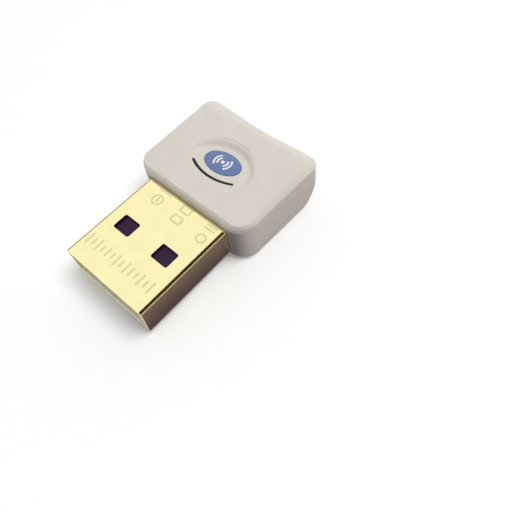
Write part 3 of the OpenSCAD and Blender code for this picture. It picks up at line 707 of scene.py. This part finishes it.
class STICK_OT_light_guide(bpy.types.Operator):
    """Dress the light guide that fills the slit; its near-black colour is painted shade for the slit's dark
    depth
    """
    bl_idname = "stick.light_guide"
    bl_label = "Light guide"

    def execute(self, context):
        s = sizes_of(context.scene.stick_housing)
        guide = frame["nodes"]["light_guide"]
        soften(guide, 0.03)
        # Near-black light guide: painted shade inside the slit.
        smoke = moulded("smoked_guide", s["smoke"], 0.25, (0.3, 0.42), 6.0, 0.004, shine=0.3)
        dress(guide, smoke)
        return {"FINISHED"}


class STICK_OT_plug_shell(bpy.types.Operator):
    """Build the stamped and rolled plug shell with windows, seam, dimples and solder legs"""
    bl_idname = "stick.plug_shell"
    bl_label = "Plug shell"

    def execute(self, context):
        s = sizes_of(context.scene.stick_plug)
        high = PLUG_HIGH - PLUG_LOW
        middle = (PLUG_LOW + PLUG_HIGH) / 2
        sheet, bend, edge = s["sheet"], s["bend"], s["edge"]
        back = FACE_Y + 3.2

        def ring(inset, y):
            r = max(bend - inset, 0.02)
            plan = rounded_rect(PLUG_W - 2 * inset, high - 2 * inset, r, 14, 8)
            return [(x, y, z + middle) for x, z in plan]

        steps = 5
        turn = [math.pi / 2 * i / steps for i in range(steps + 1)]
        rings = [ring(edge * (1 - math.sin(a)), TIP_Y + edge * (1 - math.cos(a))) for a in turn]
        rings += [ring(0, back - edge)] + [ring(edge, back)]
        rings += [ring(sheet - edge, back), ring(sheet, back - edge)]
        rings += [ring(sheet - edge * (1 - math.cos(a)), TIP_Y + edge * (1 - math.sin(a)))
                  for a in turn]
        piece = piece_from("plug_stamping", *skin(rings, closed=True))
        for side in (-1, 1):
            for low, top in ((PLUG_HIGH - sheet - 0.2, PLUG_HIGH + 0.2),
                             (PLUG_LOW - 0.2, PLUG_LOW + sheet + 0.2)):
                plan = [(x + side * s["window_across"], y + TIP_Y + s["window_along"])
                        for x, y in rounded_rect(s["window_width"], s["window_length"], 0.25, 8)]
                combine(piece, prism("window_tool", plan, low, top))
        combine(piece, self.seam(back, sheet))
        for side in (-1, 1):
            combine(piece, self.ball(s, side, PLUG_W / 2))
        legs = []
        for side in (-1, 1):
            x0 = side * (PLUG_W - sheet) / 2
            plan = [(x + x0, y + back + 0.7) for x, y in rounded_rect(sheet, 1.6, 0.05, 3)]
            legs.append(prism("leg", plan, 1.45, 3.35))
        join(piece, *legs)
        crisp(piece, 42, 0.03)
        carry(piece, plated("gold_plating", s["gold"]), "gold_plate", "plug_shell")
        piece.data.materials.append(plated("inner_plating", s["inner"], (0.5, 0.62), 0.06))
        # Bare cut edge with painted shade: far darker than the bare metal is.
        piece.data.materials.append(plated("cut_edge", s["cut"], (0.35, 0.5), 0.1))
        half_w, half_h = PLUG_W / 2 - sheet / 2, high / 2 - sheet / 2
        for face in piece.data.polygons:
            x, y, z = face.center / MM
            inside = abs(x) < half_w and abs(z - middle) < half_h and y < back
            # Vertical faces inside the windows get the cut edge's painted shade.
            in_sheet = abs(abs(z - middle) - half_h) < sheet * 0.4 and abs(face.normal.z) < 0.5
            in_window = abs(x) < half_w - 0.5 and abs(y - TIP_Y - s["window_along"]) < s["window_length"]
            face.material_index = 2 if in_sheet and in_window else 1 if inside else 0
        return {"FINISHED"}

    def seam(self, back, sheet, gap=0.06, reach=1.0, neck=0.65, head=1.0):
        """Open line where the rolled sheet meets, with its two dovetails."""
        path = [(0.0, TIP_Y - 0.1)]
        for y in (TIP_Y + 3.2, TIP_Y + 9.6):
            path += [(0.0, y - neck), (-reach, y - head), (-reach, y + head), (0.0, y + neck)]
        path.append((0.0, back + 0.1))
        left, right = [], []
        for i, p in enumerate(path):
            before = np.array(path[max(i - 1, 0)])
            after = np.array(path[min(i + 1, len(path) - 1)])
            here = np.array(p)
            n = np.zeros(2)
            for a, b in ((before, here), (here, after)):
                d = b - a
                if np.linalg.norm(d) > 0:
                    d = d / np.linalg.norm(d)
                    n += (-d[1], d[0])
            n /= np.linalg.norm(n)
            left.append(tuple(here + n * gap / 2))
            right.append(tuple(here - n * gap / 2))
        return prism("seam_tool", right + left[::-1], PLUG_LOW - 0.2, PLUG_LOW + sheet + 0.2)

    def ball(self, s, side, face_x, steps=24):
        """Ball whose cap is a dimple's hollow."""
        r = (s["dimple_radius"] ** 2 + s["dimple_depth"] ** 2) / (2 * s["dimple_depth"])
        cx = side * (face_x + r - s["dimple_depth"])
        cy, cz = TIP_Y + s["dimple_along"], PLUG_LOW + s["dimple_height"]
        rings = []
        for i in range(1, steps):
            a = math.pi * i / steps
            rings.append([(cx + r * math.cos(a), cy + r * math.sin(a) * math.cos(t),
                           cz + r * math.sin(a) * math.sin(t))
                          for t in np.linspace(0, 2 * math.pi, 48, endpoint=False)])
        return piece_from("dimple_tool", *skin(rings))


class STICK_OT_plug_marks(bpy.types.Operator):
    """Etch plain tick and shape marks where the plug carries its printing"""
    bl_idname = "stick.plug_marks"
    bl_label = "Plug marks"

    def execute(self, context):
        s = sizes_of(context.scene.stick_plug)
        thick, stroke = 0.004, s["stroke"]
        z0, z1 = PLUG_HIGH + 0.0005, PLUG_HIGH + thick
        parts = []

        def bar(x, y, w, l, turn=0.0):
            r = min(w, l) * 0.45
            c, q = math.cos(math.radians(turn)), math.sin(math.radians(turn))
            plan = [(x + u * c - v * q, TIP_Y + y + u * q + v * c)
                    for u, v in rounded_rect(w, l, r, 5)]
            parts.append(prism("bar", plan, z0, z1))

        def loop(x, y, w, l, r, t):
            outer = rounded_rect(w, l, r, 12)
            inner = rounded_rect(w - 2 * t, l - 2 * t, r - t, 12)
            rings = [[(x + u, TIP_Y + y + v, z) for u, v in plan]
                     for plan, z in ((outer, z0), (outer, z1), (inner, z1), (inner, z0))]
            parts.append(piece_from("loop", *skin(rings, closed=True)))

        lengths = (1.5, 0.9, 1.5, 0.9, 1.2, 0.9, 1.5, 0.9, 1.5, 1.2, 0.9, 1.5, 0.9, 1.5)
        for i, tick in enumerate(lengths):
            bar(-5.0 + i * 0.74, 2.65, stroke, tick)
        loop(-2.9, 10.7, 1.5, 1.5, 0.74, stroke)
        bar(-2.9, 10.7, stroke, 0.8)
        bar(-2.9, 12.0, 1.9, stroke)
        loop(0.7, 10.2, 1.5, 1.1, 0.25, stroke)
        loop(0.7, 11.7, 1.5, 1.1, 0.25, stroke)
        loop(4.5, 10.1, 1.3, 1.3, 0.64, stroke)
        bar(4.5, 11.45, 1.5, stroke)
        bar(4.5, 11.95, 1.5, stroke)
        piece = join(*parts)
        piece.name = "plug_marks"
        crisp(piece, 30)
        etched = tuple(c * 0.76 for c in s["gold"])
        carry(piece, plated("etched_plating", etched, rough=(0.12, 0.2), depth_mm=0.003), "gold_plate")
        return {"FINISHED"}


class STICK_OT_plug_inside(bpy.types.Operator):
    """Dress the tongue, the contacts and their solder"""
    bl_idname = "stick.plug_inside"
    bl_label = "Tongue and contacts"

    def execute(self, context):
        s = sizes_of(context.scene.stick_plug)
        nodes = frame["nodes"]
        soften(nodes["plug_insulator"], 0.05)
        dress(nodes["plug_insulator"],
              moulded("tongue_plastic", s["insulator"], 0.12, (0.3, 0.42), 7.0, 0.01, shine=0.25))
        strip = plated("contact_flash", s["contact"], (0.18, 0.32), 0.08, (14.0, 0.6, 14.0))
        for node in ("contact_vbus", "contact_data_minus", "contact_data_plus", "contact_ground"):
            soften(nodes[node], 0.03)
            dress(nodes[node], strip)
        for node in ("contact_solder", "leg_solder"):
            soften(nodes[node], 0.06, 25, 3)
            dress(nodes[node], plated(node + "_metal", s["solder"], (0.22, 0.4), 0.1, (2.5, 2.5, 2.5), 0.02))
        return {"FINISHED"}


class STICK_OT_badge(bpy.types.Operator):
    """Build the domed oval badge with its printed waves"""
    bl_idname = "stick.badge"
    bl_label = "Badge"

    def execute(self, context):
        s = housing_sizes(context.scene)
        b = sizes_of(context.scene.stick_badge)
        base = -s["dish_depth"]
        top = base + 0.05

        def height(share):
            return top + b["dome"] * (1 - share ** 2)

        rings = [oval_points(s, b["width"], b["breadth"], base - 0.15)]
        for i in range(5):
            a = math.pi / 2 * i / 4
            inset = 0.05 * (1 - math.cos(a))
            rings.append(oval_points(s, b["width"] - 2 * inset, b["breadth"] - 2 * inset,
                                     top - 0.05 * (1 - math.sin(a))))
        for share in np.linspace(0.95, 0.04, 16):
            rings.append(oval_points(s, (b["width"] - 0.1) * share, (b["breadth"] - 0.1) * share,
                                     height(share)))
        piece = piece_from("badge_oval", *skin(rings))
        crisp(piece, 60)
        material = moulded("badge_blue", b["blue"], 0.07, (0.16, 0.26), 5.0, 0.002)
        material.node_tree.nodes["Principled BSDF"].inputs["Coat Weight"].default_value = 0.6
        material.node_tree.nodes["Principled BSDF"].inputs["Coat Roughness"].default_value = 0.1
        carry(piece, material, "badge", "badge")
        waves = self.waves(s, b, height)
        carry(waves, moulded("badge_print", b["print"], 0.03, (0.35, 0.5), 12.0, 0.002), "badge")
        return {"FINISHED"}

    def waves(self, s, b, height):
        """Dot with two arcs on each side, laid on the badge's dome."""
        place = dish_frame(s)
        points, faces = [], []

        def add(rows):
            """Flat strip through rows of plan points, a little above the dome."""
            start, count = len(points), len(rows[0])
            for row in rows:
                for x, y in row:
                    share = math.hypot(x / (b["width"] / 2 - 0.05), y / (b["breadth"] / 2 - 0.05))
                    points.append(place @ Vector((x, y - b["back"], height(share) + 0.006)))
            for i in range(len(rows) - 1):
                for j in range(count - 1):
                    a = start + i * count + j
                    faces.append((a, a + count, a + count + 1, a + 1))

        turn = np.linspace(0, 2 * math.pi, 33)
        add([[(r * math.cos(t), r * math.sin(t)) for t in turn] for r in (0.24, 0.12, 0.001)])
        for radius in (0.62, 1.05):
            for side in (0, math.pi):
                sweep = np.linspace(-0.85, 0.85, 25) + side
                add([[(r * math.cos(t), r * math.sin(t)) for t in sweep]
                     for r in (radius + 0.125, radius - 0.125)])
        piece = piece_from("badge_waves", points, faces)
        solid = piece.modifiers.new("ink", "SOLIDIFY")
        solid.thickness = 0.012 * MM
        solid.offset = 0
        return piece


class STICK_OT_board(bpy.types.Operator):
    """Dress the circuit board and lay its copper tracks"""
    bl_idname = "stick.board"
    bl_label = "Circuit board"

    def execute(self, context):
        s = sizes_of(context.scene.stick_board)
        board = frame["nodes"]["circuit_board"]
        material, tree, shader = node_material("board_mask")
        where = object_mm(tree)
        weave = tree.nodes.new("ShaderNodeTexWave")
        weave.inputs["Scale"].default_value = 2.4
        weave.inputs["Distortion"].default_value = 1.2
        tree.links.new(where, weave.inputs["Vector"])
        dark, light = tones(s["mask"], 0.25)
        tree.links.new(ramp(tree, weave.outputs["Fac"], [(0.2, dark), (0.8, light)]),
                       shader.inputs["Base Color"])
        grit = noise(tree, where, 3.0)
        tree.links.new(spread(tree, grit, 0.22, 0.34), shader.inputs["Roughness"])
        relief(tree, shader, weave.outputs["Fac"], 0.2, 0.01)
        dress(board, material)
        runs = self.runs()
        tracks = join(*(self.track(points, s["track_width"]) for points in runs))
        tracks.name = "board_tracks"
        crisp(tracks, 40, 0.006, 1)
        carry(tracks, moulded("covered_copper", s["covered"], 0.1, (0.2, 0.3), 5.0, 0.004), "board")
        vias = join(*(self.via(*points[-1]) for points in runs))
        vias.name = "board_vias"
        crisp(vias, 40, 0.006, 1)
        carry(vias, plated("via_gold", s["via"], (0.25, 0.4), 0.08, (3.0, 3.0, 3.0)), "contacts")
        return {"FINISHED"}

    def runs(self):
        """Plan points of the tracks, set out from the parts' own boxes."""
        boxes = {node: np.array(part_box(node)) / MM for node in (
            "radio_chip", "crystal", "capacitors", "matching_coil", "contact_vbus",
            "contact_ground", "contact_data_minus", "contact_data_plus")}
        chip_low, chip_high = boxes["radio_chip"]
        middle = (chip_low[1] + chip_high[1]) / 2
        runs = []
        for node, aim in (("contact_data_plus", 0.25), ("contact_data_minus", 0.7)):
            low, high = boxes[node]
            x, y = (low[0] + high[0]) / 2, high[1] + 0.1
            out = x + math.copysign(0.2, x)
            end = chip_low[0] + aim * (chip_high[0] - chip_low[0])
            runs.append([(x, y), (out, y + 0.2), (out, y + 0.75), (end, chip_low[1] - 0.25)])
        x, y = boxes["contact_vbus"][1][0] - 0.7, boxes["contact_vbus"][1][1] + 0.1
        runs.append([(x, y), (x, y + 1.0), (x + 0.5, y + 1.5)])
        x = boxes["contact_ground"][0][0] + 0.9
        runs.append([(x, y), (x + 0.9, y + 0.6), (x + 0.9, y + 1.7)])
        for step in (-0.8, 0.5):
            runs.append([(chip_high[0] + 0.05, middle + step), (chip_high[0] + 0.3, middle + step),
                         (boxes["crystal"][0][0] - 0.3, middle + step * 1.2)])
        for step in (-0.6, 0.6, 1.8):
            runs.append([(chip_low[0] - 0.05, middle + step), (chip_low[0] - 0.4, middle + step)])
        coil = boxes["matching_coil"]
        x = (coil[0][0] + coil[1][0]) / 2
        runs.append([(x, coil[0][1] - 0.05), (x, coil[0][1] - 0.35), (x + 0.5, coil[0][1] - 0.7)])
        return runs

    def track(self, points, width):
        """Thin ribbon along plan points, lying on the board's top face."""
        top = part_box("circuit_board")[1][2] / MM
        points = [np.array(p) for p in points]
        left, right = [], []
        for i, here in enumerate(points):
            ahead = points[min(i + 1, len(points) - 1)] - points[max(i - 1, 0)]
            side = np.array((-ahead[1], ahead[0])) / np.linalg.norm(ahead) * width / 2
            left.append(tuple(here + side))
            right.append(tuple(here - side))
        return prism("track", right + left[::-1], top + 0.001, top + 0.02)

    def via(self, x, y, steps=24):
        """Plated ring at a track's end."""
        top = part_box("circuit_board")[1][2] / MM
        rings = []
        for r, z in ((0.17, 0.001), (0.17, 0.03), (0.08, 0.03), (0.08, 0.001)):
            rings.append([(x + r * math.cos(a), y + r * math.sin(a), top + z)
                          for a in np.linspace(0, 2 * math.pi, steps, endpoint=False)])
        return piece_from("via", *skin(rings, closed=True))


class STICK_OT_board_parts(bpy.types.Operator):
    """Dress the chips and small parts on the board"""
    bl_idname = "stick.board_parts"
    bl_label = "Parts on the board"

    def execute(self, context):
        s = sizes_of(context.scene.stick_board)
        nodes = frame["nodes"]
        compound = moulded("chip_compound", s["moulding"], 0.3, (0.4, 0.55), 16.0, 0.01)
        for node in ("radio_chip", "voltage_regulator", "memory_chip", "surge_protector",
                     "resistors", "ferrite_bead"):
            soften(nodes[node], 0.03)
            dress(nodes[node], compound)
        soften(nodes["crystal"], 0.05)
        dress(nodes["crystal"], plated("can_nickel", s["can"], (0.25, 0.38), 0.05))
        ceramic = fired("antenna_ceramic", s["ceramic"], (0.5, 0.47, 0.4))
        for node in ("antenna", "matching_coil"):
            soften(nodes[node], 0.04)
            dress(nodes[node], ceramic)
        soften(nodes["capacitors"], 0.03)
        dress(nodes["capacitors"], fired("capacitor_ceramic", s["capacitor"], (0.2, 0.13, 0.07)))
        soften(nodes["status_light"], 0.04)
        lens = moulded("light_lens", s["lens"], 0.04, (0.08, 0.16), 4.0, 0.002)
        lens.node_tree.nodes["Principled BSDF"].inputs["Transmission Weight"].default_value = 0.35
        dress(nodes["status_light"], lens)
        return {"FINISHED"}


class STICK_OT_stage(bpy.types.Operator):
    """Set the pale floor, the soft studio light and the camera at the photograph's angle"""
    bl_idname = "stick.stage"
    bl_label = "Floor, light and camera"

    def execute(self, context):
        s = sizes_of(context.scene.stick_stage)
        self.floor(s)
        self.sky(s)
        self.lamps(s)
        self.flags(s)
        self.camera(context, s)
        context.scene.view_settings.view_transform = "Standard"
        return {"FINISHED"}

    def seen(self, tree):
        """One for camera, glossy and transmission rays, nought for the rest."""
        path = tree.nodes.new("ShaderNodeLightPath")
        total = path.outputs["Is Camera Ray"]
        for name in ("Is Glossy Ray", "Is Transmission Ray"):
            add = tree.nodes.new("ShaderNodeMath")
            add.operation = "ADD"
            add.use_clamp = True
            tree.links.new(total, add.inputs[0])
            tree.links.new(path.outputs[name], add.inputs[1])
            total = add.outputs[0]
        return total

    def floor(self, s):
        """Paper floor: diffuse with a fibre grain, and a little glow for what is seen directly."""
        half = 600.0
        grid = [(x, y, 0.0) for y in (-half, half) for x in (-half, half)]
        floor = piece_from("floor", grid, [(0, 1, 3, 2)])
        material, tree, output = stage_material("floor_paper")
        matt = tree.nodes.new("ShaderNodeBsdfDiffuse")
        glow = tree.nodes.new("ShaderNodeEmission")
        both = tree.nodes.new("ShaderNodeAddShader")
        fibres = noise(tree, object_mm(tree), 0.5, 6.0)
        dark, light = tones(s["paper"], 0.004)
        tree.links.new(ramp(tree, fibres, [(0.3, dark), (0.7, light)]), matt.inputs["Color"])
        strength = tree.nodes.new("ShaderNodeMath")
        strength.operation = "MULTIPLY"
        strength.inputs[1].default_value = s["glow"]
        tree.links.new(self.seen(tree), strength.inputs[0])
        tree.links.new(strength.outputs[0], glow.inputs["Strength"])
        tree.links.new(matt.outputs[0], both.inputs[0])
        tree.links.new(glow.outputs[0], both.inputs[1])
        tree.links.new(both.outputs[0], output.inputs["Surface"])
        floor.data.materials.append(material)

    def sky(self, s):
        """Even white light; what is seen directly or mirrored shows as white."""
        world = bpy.data.worlds.new("studio")
        world.use_nodes = True
        tree = world.node_tree
        back = tree.nodes["Background"]
        back.inputs["Color"].default_value = (1.0, 1.0, 1.0, 1.0)
        towards = tree.nodes.new("ShaderNodeTexCoord")
        side = tree.nodes.new("ShaderNodeVectorMath")
        side.operation = "DOT_PRODUCT"
        side.inputs[1].default_value = (-0.9, 0.42, 0.0)
        tree.links.new(towards.outputs["Generated"], side.inputs[0])
        fall = tree.nodes.new("ShaderNodeMapRange")
        fall.inputs["From Min"].default_value = -1.0
        fall.inputs["To Min"].default_value = s["sky"] * (1 - s["sky_slope"])
        fall.inputs["To Max"].default_value = s["sky"] * (1 + s["sky_slope"])
        tree.links.new(side.outputs["Value"], fall.inputs["Value"])
        strength = tree.nodes.new("ShaderNodeMapRange")
        strength.inputs["To Max"].default_value = 1.0
        tree.links.new(fall.outputs["Result"], strength.inputs["To Min"])
        tree.links.new(self.seen(tree), strength.inputs["Value"])
        tree.links.new(strength.outputs["Result"], back.inputs["Strength"])
        bpy.context.scene.world = world

    def lamps(self, s):
        """Large soft lamp high over the housing's back right corner."""
        lamp = bpy.data.lights.new("key", "AREA")
        lamp.shape = "DISK"
        lamp.size = 0.68
        lamp.energy = s["key_watts"]
        key = bpy.data.objects.new("key", lamp)
        key.location = Vector((0.32, 0.26, 0.91)) * 1.2
        key.rotation_euler = (Vector((0, 0, 0)) - key.location).to_track_quat("-Z", "Y").to_euler()
        key.visible_glossy = False
        bpy.context.scene.collection.objects.link(key)

    def flags(self, s):
        """Dark studio cards that show only in the metal, and one on the floor that holds back
        the light which the paper would throw on the right side."""
        for name, low, high, tone in (("right_flag", 0, 84, s["flag"]),
                                      ("left_flag", 140, 180, s["left_flag"])):
            rings = [[(150 * math.cos(a), y, 150 * math.sin(a))
                      for a in np.radians(np.linspace(low, high, 24))] for y in (-25, 78)]
            self.flag(name, *skin_open(rings), tone)
        # The low card is darkest by the plug and tan further out: a painted shadow beside and under the plug
        # and a painted highlight high on its side, seen only in the metal.
        low_card = [(x, y, 0.03) for y in (-14.0, 16.0) for x in (1.5, 30.0)]
        self.flag("low_flag", low_card, [(0, 1, 3, 2)], s["low_flag"],
                  shadow_and_highlight_tones=[(0.10, s["mid_flag"]), (0.18, tones(s["mid_flag"], 0.5)[1]),
                            (1.0, s["far_flag"])])
        bounce_card = [(x, y, 0.02) for y in (-14.0, 20.0) for x in (1.5, 22.0)]
        self.flag("bounce_flag", bounce_card, [(0, 1, 3, 2)], s["bounce_flag"], bounce=True)

    def flag(self, name, points, faces, tone, shadow_and_highlight_tones=(), bounce=False):
        """One card, dark on its face and clear from behind; on the low card its tones run out from the plug as
        a painted shadow and a painted highlight that only the metal mirrors.
        """
        card = piece_from(name, points, faces)
        material, tree, output = stage_material(name + "_felt")
        felt = tree.nodes.new("ShaderNodeEmission")
        clear = tree.nodes.new("ShaderNodeBsdfTransparent")
        sides = tree.nodes.new("ShaderNodeMixShader")
        geometry = tree.nodes.new("ShaderNodeNewGeometry")
        nap = noise(tree, object_mm(tree), 0.2, 4.0)
        if shadow_and_highlight_tones:
            apart = tree.nodes.new("ShaderNodeSeparateXYZ")
            tree.links.new(object_mm(tree), apart.inputs[0])
            uneven = tree.nodes.new("ShaderNodeMath")
            uneven.operation = "MULTIPLY_ADD"
            uneven.inputs[1].default_value = 1.6
            tree.links.new(nap, uneven.inputs[0])
            tree.links.new(apart.outputs["X"], uneven.inputs[2])
            across = tree.nodes.new("ShaderNodeMapRange")
            across.inputs["From Min"].default_value = 7.0
            across.inputs["From Max"].default_value = 18.8
            tree.links.new(uneven.outputs[0], across.inputs["Value"])
            shade = ramp(tree, across.outputs["Result"], [(0.0, tone), *shadow_and_highlight_tones])
        else:
            dark, light = tones(tone, 0.1)
            shade = ramp(tree, nap, [(0.3, dark), (0.7, light)])
        tree.links.new(shade, felt.inputs["Color"])
        tree.links.new(geometry.outputs["Backfacing"], sides.inputs["Fac"])
        tree.links.new(felt.outputs[0], sides.inputs[1])
        tree.links.new(clear.outputs[0], sides.inputs[2])
        tree.links.new(sides.outputs[0], output.inputs["Surface"])
        material.cycles.emission_sampling = "NONE"
        card.data.materials.append(material)
        card.visible_camera = False
        card.visible_shadow = False
        card.visible_transmission = False
        card.visible_diffuse = bounce
        card.visible_glossy = not bounce

    def camera(self, context, s):
        """Camera at the fitted place and angle."""
        data = bpy.data.cameras.new("photo_camera")
        data.lens = s["lens_mm"]
        data.sensor_width = 36.0
        data.clip_start, data.clip_end = 0.001, 10.0
        camera = bpy.data.objects.new("photo_camera", data)
        right = Vector((0.7525, 0.6554, -0.0646))
        down = Vector((0.5445, -0.6744, -0.4986))
        ahead = Vector((-0.3703, 0.3401, -0.8644))
        turn = Matrix((right, -down, -ahead)).transposed().normalized()
        camera.matrix_world = Matrix.Translation(Vector(s["camera_place"])) @ turn.to_4x4()
        context.scene.collection.objects.link(camera)
        context.scene.camera = camera


class STICK_PT_panel(bpy.types.Panel):
    """Settings and build steps of the radio stick"""
    bl_idname = "STICK_PT_panel"
    bl_label = "Radio Stick"
    bl_space_type = "VIEW_3D"
    bl_region_type = "UI"
    bl_category = "Radio Stick"

    def draw(self, context):
        scene = context.scene
        for group, operators in PARTS:
            box = self.layout.box()
            settings = getattr(scene, group)
            for key in settings.bl_rna.properties.keys():
                if key not in ("rna_type", "name"):
                    box.prop(settings, key)
            for operator in operators:
                box.operator(operator.bl_idname)


GROUPS = {
    "stick_housing": StickHousingSettings,
    "stick_plug": StickPlugSettings,
    "stick_badge": StickBadgeSettings,
    "stick_board": StickBoardSettings,
    "stick_stage": StickStageSettings,
}
PARTS = (
    ("stick_housing", (STICK_OT_housing, STICK_OT_cover, STICK_OT_light_guide)),
    ("stick_plug", (STICK_OT_plug_shell, STICK_OT_plug_marks, STICK_OT_plug_inside)),
    ("stick_badge", (STICK_OT_badge,)),
    ("stick_board", (STICK_OT_board, STICK_OT_board_parts)),
    ("stick_stage", (STICK_OT_stage,)),
)
CLASSES = (*GROUPS.values(), *(o for _, operators in PARTS for o in operators), STICK_PT_panel)


def register():
    for cls in CLASSES:
        bpy.utils.register_class(cls)
    for name, group in GROUPS.items():
        setattr(bpy.types.Scene, name, bpy.props.PointerProperty(type=group))


def unregister():
    for name in GROUPS:
        delattr(bpy.types.Scene, name)
    for cls in reversed(CLASSES):
        bpy.utils.unregister_class(cls)


def main():
    register()
    bpy.ops.stick.housing()
    bpy.ops.stick.cover()
    bpy.ops.stick.light_guide()
    bpy.ops.stick.plug_shell()
    bpy.ops.stick.plug_marks()
    bpy.ops.stick.plug_inside()
    bpy.ops.stick.badge()
    bpy.ops.stick.board()
    bpy.ops.stick.board_parts()
    bpy.ops.stick.stage()


if __name__ == "__main__":
    main()
